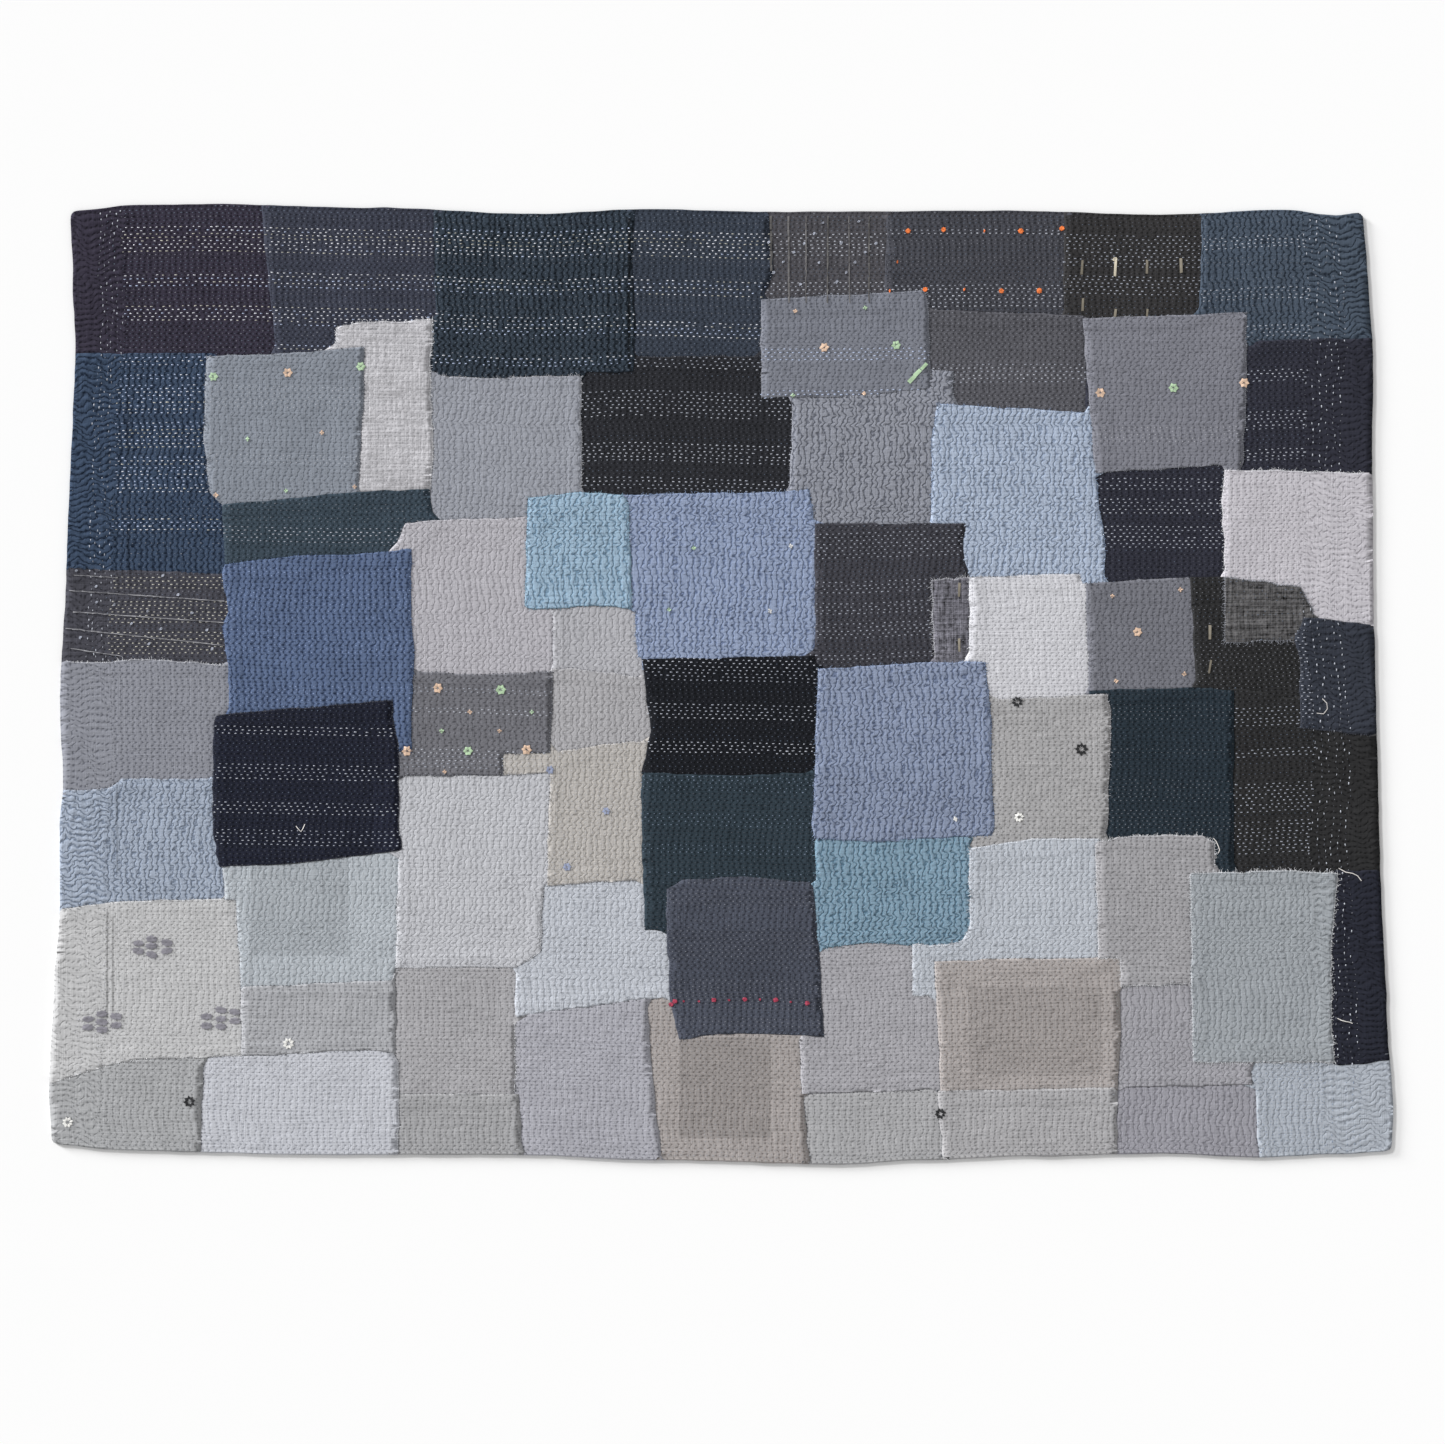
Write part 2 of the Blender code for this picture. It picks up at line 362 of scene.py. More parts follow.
def rows_map(piece, stitch, row):
    """Gives a piece a map counted in stitches and rows, which its cotton's creases follow."""
    rows = piece.data.uv_layers.new(name="stitch_rows")
    point_of = np.empty(len(piece.data.loops), np.int32)
    piece.data.loops.foreach_get("vertex_index", point_of)
    sizes = np.empty(len(piece.data.polygons), np.int32)
    piece.data.polygons.foreach_get("loop_total", sizes)
    face_of = np.repeat(np.arange(len(sizes)), sizes)
    middle = np.bincount(face_of, stitch[point_of]) / sizes
    side = in_side_border(middle)[face_of]
    places = np.stack((stitch, row), axis=1)[point_of]
    side_places = np.stack(side_place(stitch, row), axis=1)[point_of]
    places = np.where(side[:, None], side_places, places)
    rows.uv.foreach_set("vector", places.astype(np.float32).ravel())


def socket(tree, target, value):
    """Links a value to a socket, or sets it there if it is a number or colour."""
    if isinstance(value, bpy.types.NodeSocket):
        tree.links.new(value, target)
    else:
        target.default_value = value


def worked(tree, operation, *values):
    """Adds a Math node and returns its result."""
    node = tree.nodes.new("ShaderNodeMath")
    node.operation = operation
    for target, value in zip(node.inputs, values):
        socket(tree, target, value)
    return node.outputs[0]


def slubs(tree, place, scale, detail=2.0):
    """Adds the unevenness of yarns of one scale, as thick as 1 / scale along each axis."""
    stretch = tree.nodes.new("ShaderNodeMapping")
    stretch.inputs["Scale"].default_value = scale
    tree.links.new(place, stretch.inputs["Vector"])
    noise = tree.nodes.new("ShaderNodeTexNoise")
    noise.inputs["Scale"].default_value = 1.0
    noise.inputs["Detail"].default_value = detail
    tree.links.new(stretch.outputs[0], noise.inputs["Vector"])
    return noise.outputs["Fac"]


def linear(colour):
    """Returns a colour written as #rrggbb in the linear numbers that a shader takes."""
    parts = [int(colour[index:index + 2], 16) / 255 for index in (1, 3, 5)]
    return (*[part / 12.92 if part < 0.04045 else ((part + 0.055) / 1.055) ** 2.4 for part in parts], 1.0)


def summed(tree, base, *terms):
    """Returns a base plus each term's strength times its value, less its middle."""
    total = base
    for value, strength, middle in terms:
        lifted = worked(tree, "SUBTRACT", value, middle)
        total = worked(tree, "MULTIPLY_ADD", lifted, strength, total)
    return total


def worn_cotton_with_painted_shade(name, colour, weave, crease_shade, melange, run, stray_way, depth, shade_boxes=()):
    """Makes plain-woven cotton: slubby warp and weft, faded clouds, and creases at the stitches, with
    painted shade that darkens the colour in the creases, the stitch holes and the row valleys.
    """
    material = bpy.data.materials.new(name)
    material.use_nodes = True
    tree = material.node_tree
    shader = tree.nodes["Principled BSDF"]
    place = tree.nodes.new("ShaderNodeTexCoord").outputs["Object"]
    rows = tree.nodes.new("ShaderNodeUVMap")
    rows.uv_map = "stitch_rows"
    counted = tree.nodes.new("ShaderNodeSeparateXYZ")
    tree.links.new(rows.outputs[0], counted.inputs[0])
    warp = slubs(tree, place, (620, 24, 0))
    weft = slubs(tree, place, (24, 620, 0))
    thick_warp = slubs(tree, place, (210, 9, 0), 1.0)
    thick_weft = slubs(tree, place, (9, 210, 0), 1.0)
    fading = slubs(tree, place, (11, 11, 0), 3.0)
    stray = slubs(tree, place, (170, 120, 0), 1.0)
    bend = slubs(tree, place, (70, 55, 0), 1.0)
    along = summed(tree, counted.outputs["X"], (stray, 0.9 * stray_way, 0.5), (bend, 1.7 * stray_way, 0.5))
    down = summed(tree, counted.outputs["Y"], (bend, 0.9, 0.5))
    turn = worked(tree, "COSINE", worked(tree, "MULTIPLY", along, 2 * math.pi))
    gap = worked(tree, "MULTIPLY_ADD", turn, -0.5, 0.5)
    turn = worked(tree, "COSINE", worked(tree, "MULTIPLY", down, 2 * math.pi))
    line = worked(tree, "MULTIPLY_ADD", turn, 0.5, 0.5)
    # Painted shade: the colour is darkened towards a deeper tone where the creases run between the
    # stitches, at the stitch holes and along the row valleys, where shade falls. The same pattern drives
    # the bump.
    fold = worked(tree, "POWER", gap, 3.6)
    hole = worked(tree, "MULTIPLY", worked(tree, "POWER", gap, 4.0), worked(tree, "POWER", line, 1.5))
    sharpness = worked(tree, "MULTIPLY_ADD", stray, 1.0, 0.5)
    fold = worked(tree, "MULTIPLY", fold, sharpness)
    shade = worked(tree, "MULTIPLY_ADD", hole, 1.0 - run, worked(tree, "MULTIPLY", fold, run))
    shade = worked(tree, "MULTIPLY_ADD", worked(tree, "MULTIPLY", line, gap), 0.10, shade)
    lift = summed(
        tree, 1.0,
        (warp, weave, 0.5), (weft, weave, 0.5), (thick_warp, 0.7 * weave, 0.5),
        (thick_weft, 0.7 * weave, 0.5), (fading, melange, 0.5), (stray, 0.7 * weave, 0.5),
    )
    # Older cloth seen through the piece, and painted shade along its pleats
    for box in shade_boxes:
        lift = worked(tree, "MULTIPLY", lift, undercloth_and_pleat_shade(tree, place, *box))
    flat_colour = linear(colour)
    # The deeper tone of the painted shade in the creases and holes
    crease_shade_colour = [0.78 * part ** 1.5 for part in flat_colour[:3]]
    two = tree.nodes.new("ShaderNodeMix")
    two.data_type = "RGBA"
    two.inputs["A"].default_value = flat_colour
    two.inputs["B"].default_value = (*crease_shade_colour, 1.0)
    # How far the painted shade darkens each place
    painted_crease_shade = worked(tree, "MINIMUM", worked(tree, "MULTIPLY", shade, crease_shade), 1.0)
    tree.links.new(painted_crease_shade, two.inputs["Factor"])
    tinted = tree.nodes.new("ShaderNodeVectorMath")
    tinted.operation = "SCALE"
    tree.links.new(two.outputs["Result"], tinted.inputs[0])
    tree.links.new(lift, tinted.inputs["Scale"])
    tree.links.new(tinted.outputs[0], shader.inputs["Base Color"])
    yarns = worked(tree, "ADD", warp, weft)
    relief = worked(tree, "MULTIPLY_ADD", shade, -depth, worked(tree, "MULTIPLY", yarns, 0.5))
    bump = tree.nodes.new("ShaderNodeBump")
    bump.inputs["Strength"].default_value = 0.8
    bump.inputs["Distance"].default_value = 0.001
    tree.links.new(relief, bump.inputs["Height"])
    tree.links.new(bump.outputs[0], shader.inputs["Normal"])
    rough = worked(tree, "MULTIPLY_ADD", yarns, 0.10, 0.82)
    tree.links.new(rough, shader.inputs["Roughness"])
    shader.inputs["Specular IOR Level"].default_value = 0.12
    shader.inputs["Sheen Weight"].default_value = 0.02
    shader.inputs["Sheen Roughness"].default_value = 0.6
    return material


def undercloth_and_pleat_shade(tree, place, low_x, low_y, high_x, high_y, shade):
    """Returns a factor that darkens or lightens a box, in centimetres, where another cloth shows through,
    and paints shade along a pleat.
    """
    parts = tree.nodes.new("ShaderNodeSeparateXYZ")
    tree.links.new(place, parts.inputs[0])
    cover = 1.0
    for output, low, high in (("X", low_x, high_x), ("Y", low_y, high_y)):
        middle = worked(tree, "SUBTRACT", parts.outputs[output], (low + high) / 200)
        beyond = worked(tree, "SUBTRACT", (high - low) / 200, worked(tree, "ABSOLUTE", middle))
        edge = worked(tree, "MULTIPLY_ADD", beyond, 450.0, 0.5)
        edge = worked(tree, "MINIMUM", worked(tree, "MAXIMUM", edge, 0.0), 1.0)
        cover = worked(tree, "MULTIPLY", edge, cover)
    return worked(tree, "MULTIPLY_ADD", cover, shade - 1.0, 1.0)


def wears(piece, material):
    """Puts a finish on a piece and lets it ride with the quilt."""
    piece.data.materials.clear()
    piece.data.materials.append(material)
    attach(piece, "root")


def shaded_smooth(piece):
    """Shades all of a piece's faces smooth."""
    piece.data.polygons.foreach_set("use_smooth", np.ones(len(piece.data.polygons), bool))


GROUND_DEPTH = 0.0009
ground = stitch_grid("ground_cloth", CLOTH_OUTLINE, 4, 2)
cut_away(ground, ~inside_outline(stitch_plan(*face_centres(ground)[:, :2].T), CLOTH_OUTLINE))
spots = points_of(ground)
stitch, row = spots[:, 0].copy(), spots[:, 1].copy()
spots[:, :2] = stitch_plan(stitch, row)
ends, is_open = open_edges(ground)
rim = np.unique(ends[is_open])
spots[rim, :2] = nearest_on_outline(spots[rim, :2], CLOTH_OUTLINE)[0]
spots[:, 2] = GROUND_DEPTH * (0.3 + 0.3 * scatter(stitch, row))
spots[rim, 2] = 0.4 * GROUND_DEPTH
give_points(ground, spots)
bpy.ops.object.mode_set(mode="EDIT")
bpy.ops.mesh.select_all(action="SELECT")
bpy.ops.mesh.flip_normals()
bpy.ops.object.mode_set(mode="OBJECT")
rows_map(ground, stitch, row)
shaded_smooth(ground)
wears(ground, worn_cotton_with_painted_shade("ground_cotton", "#4a5360", 0.5, 0.5, 0.2, 0.3, 0.5, 0.5))
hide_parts("quilt")

# Patches
# About seventy torn or cut pieces of old cotton saris, laid over the ground cloth edge over edge
# and held by the stitch rows alone. They are listed as laid, each over those before it. The
# outline is in centimetres right of and above the quilt's centre.
Patch = namedtuple("Patch", "name kind colour puff band_thread plain_thread outline")
PATCHES = (
    Patch("plum_corner", "dusky", "#383442", 0.7, "white", "slate",
          ((-105.5, 77.5), (-72.5, 77.5), (-72, 65), (-70.5, 52.5), (-90.5, 52.5), (-105, 52.5))),
    Patch("slate_top", "dusky", "#3d404d", 0.5, "white", "slate",
          ((-73, 77.5), (-45.5, 77.5), (-44.5, 58), (-45, 48.5), (-70.5, 52.5))),
    Patch("grey_brown_ikat", "ikat", "#504f54", 0.4, "silver", "slate",
          ((7.5, 77.5), (26.5, 77.5), (26, 61), (6.5, 60.5), (8.5, 65.5))),
    Patch("navy_top", "dusky", "#39404c", 0.4, "white", "slate",
          ((-13.5, 77.5), (7.5, 77.5), (8.5, 65.5), (6.5, 60.5), (6.5, 51.5), (-13.5, 52))),
    Patch("dotted_plum", "dusky", "#46474e", 0.4, "silver", "slate",
          ((26.5, 77.5), (54.5, 77.5), (54.5, 58.5), (43.5, 58.5), (32.5, 59), (26, 61))),
    Patch("olive_black", "dusky", "#363536", 0.5, "pewter", "soot",
          ((54.5, 77.5), (76.5, 77.5), (76, 58.5), (54.5, 58))),
    Patch("steel_corner", "deep", "#495462", 0.6, "silver", "slate",
          ((76.5, 77.5), (106.5, 77.5), (105.5, 54.5), (85, 54.5), (83.5, 52.5), (76, 58.5))),
    Patch("navy_left", "deep", "#3d4c62", 0.8, "white", "slate",
          ((-105, 52.5), (-90.5, 52.5), (-80.5, 52.5), (-78.5, 17.5), (-89.5, 17.5), (-104, 18.5),
           (-105.5, 19.5))),
    Patch("black_band", "black", "#2b2c31", 0.4, "silver", "soot",
          ((-22, 49.5), (-13, 52), (6.5, 52), (11.5, 45.5), (11, 30.5), (6.5, 29.5), (-16, 29.5),
           (-22, 30))),
    Patch("teal_blue_fold", "deep", "#353f4a", 0.9, "white", "slate",
          ((-45.5, 77.5), (-13.5, 77.5), (-14, 66.5), (-13.4, 56.5), (-13.8, 49.6), (-22.5, 49.4),
           (-38, 48.5), (-45, 49))),
    Patch("grey_upright", "crepe", "#9b9ea7", 0.5, "stone", "stone",
          ((-45.5, 49), (-38, 48.5), (-22, 49), (-22, 30), (-30, 26.5), (-45.5, 26.5))),
    Patch("light_upright", "gauze", "#bfbec2", 0.5, "stone", "stone",
          ((-61, 53), (-61, 56.5), (-57, 57.5), (-50, 57.5), (-45.5, 58), (-46, 50.5), (-45.5, 36.5),
           (-46, 30.5), (-57.5, 30.5))),
    Patch("dark_grey_band", "dusky", "#59595f", 0.4, "silver", "ash",
          ((32.5, 59.5), (43.5, 59), (57.5, 58.5), (58, 43.5), (36.5, 44.5), (33, 49.5))),
    Patch("ink_right", "black", "#2f303b", 0.4, "silver", "soot",
          ((58, 53), (84, 53.5), (85, 54.5), (106.5, 55), (106.5, 14), (80, 15), (60, 15), (58, 34))),
    Patch("grey_dent", "puffed", "#91949e", 0.65, "stone", "stone",
          ((11.5, 45.5), (19, 45.5), (32.5, 47), (32.5, 50), (37, 49.5), (37, 44.5), (35, 44.5),
           (34, 39), (34, 25.5), (15, 25.5), (14.5, 30), (11, 30.5))),
    Patch("light_blue_square", "puffed", "#acb8cb", 0.8, "sky", "sky",
          ((34.5, 44.5), (59, 43), (60, 43), (59.5, 36.5), (60, 29), (61, 23), (61, 16), (57.5, 16),
           (57, 17), (39.5, 16.5), (38.5, 22.5), (33.5, 27), (33.5, 39))),
    Patch("flowered_top", "flowered", "#7c7f89", 0.4, "frost", "ash",
          ((6.5, 61), (32.5, 62.5), (33, 60.5), (33.5, 47), (29.5, 46.5), (19, 45.5), (11.5, 45.5),
           (6.5, 45.5))),
    Patch("flowered_right", "flowered", "#7e7f88", 0.4, "mist", "ash",
          ((57.5, 58), (83.5, 59), (83.5, 52.5), (83.5, 47.5), (83, 35), (59.5, 33.5), (58.5, 45))),
    Patch("flowered_left", "flowered", "#898f99", 0.4, "mist", "ash",
          ((-81.5, 52), (-68.5, 52.5), (-56.5, 53.5), (-56.5, 46), (-57.5, 30), (-79, 28.5),
           (-81, 30.5), (-82, 39))),
    Patch("warm_light_right", "pale", "#c2bfc5", 0.3, "mist", "mist",
          ((80, 34), (106.5, 33.5), (106.5, 9), (96.5, 10), (94, 10.5), (92, 15.5), (80, 17), (80, 22),
           (79.5, 29))),
    Patch("green_teal_band", "dusky", "#3b4853", 0.5, "silver", "slate",
          ((-79, 28.5), (-57.5, 30.5), (-46, 31), (-45.5, 26), (-51, 21), (-62, 19.5), (-78.5, 18.5))),
    Patch("ikat_left", "ikat", "#484850", 0.4, "straw", "slate",
          ((-107, 18.5), (-104, 18.5), (-79, 17.5), (-78.5, 17), (-78, 3), (-90.5, 4), (-99, 3.5),
           (-107, 4))),
    Patch("heather_left", "pale", "#8e9099", 0.4, "stone", "stone",
          ((-107, 3.5), (-99, 3.5), (-90.5, 4), (-78, 3), (-78, -4.5), (-79.5, -5), (-80.5, -15),
           (-95, -15), (-97, -16.5), (-107, -17))),
    Patch("mauve_grey", "crepe", "#b5b3b9", 0.35, "mist", "mist",
          ((-50, 25.5), (-45, 26), (-30, 26.5), (-30.5, 12.5), (-26.5, 12), (-26.5, 2), (-38, 1.5),
           (-49, 2), (-49, 10), (-49.5, 21.5), (-51.5, 21.5))),
    Patch("stone_small", "crepe", "#b2b2b7", 0.4, "mist", "mist",
          ((-26.5, 12), (-14, 12), (-13, 3), (-12.5, 1), (-23, 2.5), (-26.5, 2))),
    Patch("stone_strip", "crepe", "#acabae", 0.4, "mist", "mist",
          ((-26.5, 2.5), (-23, 2.5), (-12, 1), (-11, -7.5), (-11.5, -9), (-18.5, -9.5), (-27, -11.5))),
    Patch("lavender_foot_two", "crepe", "#9b9aa2", 0.45, "stone", "stone",
          ((63, -64), (84.5, -63.5), (86, -78), (63, -78))),
    Patch("blue_corner", "crepe", "#acb2bb", 0.5, "sky", "sky",
          ((84, -58), (98, -58.5), (108.5, -58), (109, -78), (85.5, -78), (85, -65.5), (84.5, -62))),
    Patch("lavender_upright", "crepe", "#a1a0a6", 0.4, "stone", "stone",
          ((63, -48), (75, -47.5), (75, -59.5), (84, -60.5), (84.5, -63.5), (63, -64))),
    Patch("grey_foot_two", "pale", "#acacae", 0.5, "stone", "stone",
          ((13, -64.5), (29.5, -64.5), (35, -64), (35.5, -78.5), (14, -78.5))),
    Patch("warm_foot", "pale", "#a8a2a0", 0.5, "stone", "stone",
          ((-11.5, -50), (-8.5, -49.5), (-6.5, -56.5), (12, -56), (13, -64.5), (14.5, -78.5),
           (-9, -78.5))),
    Patch("lavender_foot", "pale", "#aeaeb6", 0.6, "stone", "stone",
          ((-32.5, -52.5), (-11.5, -50), (-11, -59.5), (-9, -78), (-31, -78), (-32, -65.5))),
    Patch("grey_frayed", "pale", "#abaaad", 0.5, "stone", "stone",
          ((-51.5, -45), (-32.5, -44.5), (-32.5, -52.5), (-32.5, -64.5), (-51, -65.5))),
    Patch("grey_foot", "pale", "#a8a8aa", 0.5, "stone", "stone",
          ((-51.5, -65), (-32, -65), (-31, -77.5), (-51.5, -77.5))),
    Patch("ice_bottom", "pale", "#c4c6cd", 0.5, "mist", "mist",
          ((-82, -59.5), (-76, -59), (-69, -59), (-62.5, -58.5), (-55.5, -58), (-52, -58), (-51, -60),
           (-51, -77), (-82.5, -77))),
    Patch("green_grey_corner", "pale", "#acadaf", 0.5, "stone", "stone",
          ((-108.5, -64), (-102, -62), (-97.5, -60), (-92, -59.5), (-82, -59.5), (-82.5, -77),
           (-108.5, -77))),
    Patch("mauve_strip", "pale", "#a8a7ac", 0.5, "stone", "stone",
          ((15.5, -41.5), (30.5, -41), (30.5, -49.5), (34.2, -49.5), (34.5, -64), (29.5, -64.5), (13, -65),
           (12.5, -56.5), (16.5, -56))),
    Patch("steel_light_left", "puffed", "#a4aebe", 0.7, "sky", "sky",
          ((-107, -17), (-97, -16.5), (-95, -15), (-80, -15), (-80.5, -23.5), (-79.5, -29),
           (-79, -34.5), (-92.5, -34), (-95.5, -34.5), (-107, -36))),
    Patch("oval_grey", "pale", "#c2c2c3", 0.4, "mist", "mist",
          ((-108, -36), (-95.5, -34.5), (-79, -34), (-77, -34.5), (-76.5, -39), (-76.5, -50.5),
           (-76, -59), (-92, -59.5), (-97.5, -60.5), (-102, -62), (-108, -64))),
    Patch("pale_green_square", "crepe", "#b5bbc1", 0.5, "mist", "mist",
          ((-79, -29), (-51, -26.5), (-51.5, -45), (-52, -47.5), (-72.5, -47.5), (-76, -48.5),
           (-76.8, -34.3), (-78.6, -34.2))),
    Patch("grey_low", "pale", "#adaeb2", 0.5, "stone", "stone",
          ((-76, -48), (-52, -47), (-51.5, -45), (-51.5, -58.5), (-55.5, -58), (-76, -59))),
    Patch("ice_slant", "crepe", "#c0c4cc", 0.6, "mist", "mist",
          ((-28, -32), (-12.5, -30.5), (-12.5, -34.5), (-12, -39), (-8, -39), (-8, -49.5),
           (-16.5, -50.5), (-31, -52.5), (-32.5, -53), (-32.5, -44.5), (-28.5, -43))),
    Patch("mist_square", "crepe", "#c1c2c7", 0.5, "mist", "mist",
          ((-51, -14.5), (-27.5, -14.5), (-27.5, -21), (-28, -32), (-28.5, -42.5), (-32.5, -45),
           (-51.5, -45), (-51, -26.5))),
    Patch("beige_slant", "crepe", "#b7b3af", 0.45, "mist", "mist",
          ((-34.5, -11), (-27, -11), (-18.5, -9.5), (-11.5, -9), (-12.5, -13.5), (-12.5, -31),
           (-27.5, -32), (-27, -14), (-34.5, -14.5))),
    Patch("flowered_dark", "flowered", "#727278", 0.4, "silver", "ash",
          ((-49, 2), (-38, 1.5), (-26.5, 2), (-27, -10.9), (-34.3, -11), (-34.5, -14.5), (-51, -14.5),
           (-51, -9), (-49, -9))),
    Patch("blue_denim", "denim", "#5e6e8d", 0.9, "azure", "denim",
          ((-78.5, 19), (-75, 19.5), (-65, 20.5), (-59, 20.5), (-49, 21.5), (-49, 10), (-48.5, 5.5),
           (-49, -4.5), (-49, -11), (-51, -10), (-52, -3.5), (-78, -5), (-78, 3), (-79, 9), (-78, 11.5),
           (-79, 17.5))),
    Patch("periwinkle_top", "puffed", "#94a1bc", 0.8, "sky", "sky",
          ((-16, 30), (10, 30.5), (14, 31), (14.5, 28.5), (15.5, 21.5), (15, 17), (16, 5), (7.5, 3.5),
           (-3.5, 4.5), (-12, 4), (-13, 4.5), (-13.5, 10), (-13.5, 15), (-14.5, 28.5))),
    Patch("cyan_small", "puffed", "#9db6ca", 0.8, "sky", "sky",
          ((-30.5, 29.5), (-22, 30.5), (-15.5, 30), (-14.5, 28.5), (-14, 12), (-20, 12.5), (-26.5, 12),
           (-30.5, 12), (-31, 12.5))),
    Patch("charcoal_middle", "dusky", "#404047", 0.5, "pewter", "slate",
          ((15, 25.5), (39, 25.5), (38.5, 21.5), (39.5, 17), (40, 3.5), (33.5, 3), (15, 2))),
    Patch("frayed_fragment", "scrim", "#6a6971", 0.6, "stone", "ash",
          ((33.5, 16.5), (39.5, 17), (39.5, 3.5), (34, 3.5))),
    Patch("white_square", "pale", "#ceced3", 0.4, "mist", "mist",
          ((39.5, 17), (57, 17.5), (58, 12.5), (58.5, -1), (59, -2), (43, -2.5), (42, 3.5), (39.5, 4))),
    Patch("flowered_small", "flowered", "#75767e", 0.4, "stone", "ash",
          ((58, 16), (74.5, 17), (74.5, 8), (75.5, -0.5), (58.5, -1.5))),
    Patch("olive_marked", "black", "#2d2d2e", 0.5, "ash", "soot",
          ((74.5, 17), (80.3, 17), (80.8, 14.5), (91, 12.8), (92.6, 9), (93, -8), (82, -8),
           (81.5, -1), (75.5, -0.5))),
    Patch("soot_right", "black", "#2d2d2e", 0.5, "pewter", "soot",
          ((81.5, -0.5), (92, -2.5), (106.5, -7.5), (106.5, -30), (81.5, -29.5))),
    Patch("fern_fragment", "scrim", "#5a595a", 0.7, "ash", "soot",
          ((80, 17), (92, 15.5), (94, 12), (94, 10.5), (91.5, 7), (80, 6.5))),
    Patch("navy_fragment", "dusky", "#353943", 0.5, "silver", "soot",
          ((92.5, 10.5), (95, 10.5), (106.5, 9), (106.5, -8.5), (92, -7), (92, 4), (91, 7))),
    Patch("black_middle", "black", "#1a1c22", 0.4, "silver", "soot",
          ((-12.5, 4), (15, 4.5), (15.5, -3.5), (15, -14.5), (1.5, -14.5), (-12.5, -14), (-11, -7.5),
           (-12, 1))),
    Patch("green_teal_right", "dusky", "#28333c", 0.5, "ash", "soot",
          ((58.5, -1), (75.5, -0.5), (81.5, -1), (81.5, -29.5), (78.5, -29), (78.5, -25.5), (76.5, -24),
           (61, -24), (61.5, -2.5))),
    Patch("teal_middle", "dusky", "#303c45", 0.5, "sky", "soot",
          ((-12.5, -14), (1.5, -14.5), (15, -14), (15, -32), (3, -32), (-8.5, -34), (-8.5, -39),
           (-12, -39), (-12.5, -21))),
    Patch("flowered_grey_green", "pale", "#a9a8a9", 0.5, "mist", "mist",
          ((43, -2.5), (61.5, -1.5), (62, -4.5), (61.5, -22.5), (61, -24.5), (49.5, -25.5), (39.5, -27.5),
           (38.5, -25), (42.5, -24.6), (43, -18.5))),
    Patch("teal_puffed", "puffed", "#839eb0", 0.8, "sky", "sky",
          ((15, -25), (39.5, -24.5), (39.5, -38.5), (38, -40.5), (36.5, -41), (31.5, -41.5), (23, -41),
           (15.5, -42))),
    Patch("ice_strip", "crepe", "#bbc0c8", 0.6, "mist", "mist",
          ((39.5, -26), (49.5, -24.5), (60, -24.5), (60, -35.5), (60, -44), (39.5, -44), (34, -44),
           (34, -49.5), (30.5, -49.5), (30.5, -41.2), (35.8, -41.3), (38.4, -40.6), (39.6, -38.2))),
    Patch("taupe_square", "pale", "#aaa4a2", 0.6, "stone", "stone",
          ((34, -44), (46.5, -43.5), (63.5, -43.5), (63.5, -56.5), (63, -64.5), (35, -65), (34.5, -54))),
    Patch("sage_foot", "pale", "#adacae", 0.5, "stone", "stone",
          ((34.5, -64.5), (63, -64), (63, -77.5), (35.5, -78))),
    Patch("pale_taupe", "pale", "#a3a2a5", 0.5, "stone", "stone",
          ((59.5, -25), (65.5, -24), (76.5, -24), (78.5, -25), (78.5, -29.5), (75, -30), (75, -47.5),
           (63.5, -48), (63.5, -43.5), (60, -43.5))),
    Patch("ink_overlay", "black", "#202331", 0.5, "silver", "soot",
          ((-80, -5), (-76, -4.5), (-52, -2.5), (-52, -5), (-51, -9.5), (-51, -14.5), (-51, -22.5),
           (-50.5, -26), (-51, -26.5), (-59.5, -27.5), (-68, -28.5), (-79.5, -29), (-80.5, -23.5),
           (-80.5, -9))),
    Patch("ink_right_foot", "black", "#272934", 0.6, "ash", "soot",
          ((97.5, -29.5), (107, -29.5), (108.5, -59.5), (98, -60.5), (97, -52.5), (97.5, -40))),
    Patch("periwinkle_low", "puffed", "#8e99b1", 0.8, "sky", "sky",
          ((15.5, 2.5), (25.5, 3), (33.5, 3.5), (42, 3.5), (43, -5.5), (43, -13), (43.5, -22.5),
           (43, -24), (31.5, -24.5), (25.5, -25), (15, -24.5), (14.5, -22.5), (15, -14.5))),
    Patch("slate_overlay", "dusky", "#4c505c", 0.4, "ash", "slate",
          ((-8.5, -32.5), (-6, -31), (3, -30.5), (9.5, -31), (14.5, -31.5), (15, -34.5), (16, -46.5),
           (16.5, -56), (7.5, -55.5), (-0.5, -55.5), (-6.5, -56.5), (-8, -50), (-8.5, -39))),
    Patch("green_grey_overlay", "crepe", "#9fa4a9", 0.55, "stone", "stone",
          ((74.5, -30), (90, -29.5), (98, -30), (97.5, -35.5), (97, -41), (97, -54.5), (97.5, -60),
           (84, -60), (75, -60))),
)
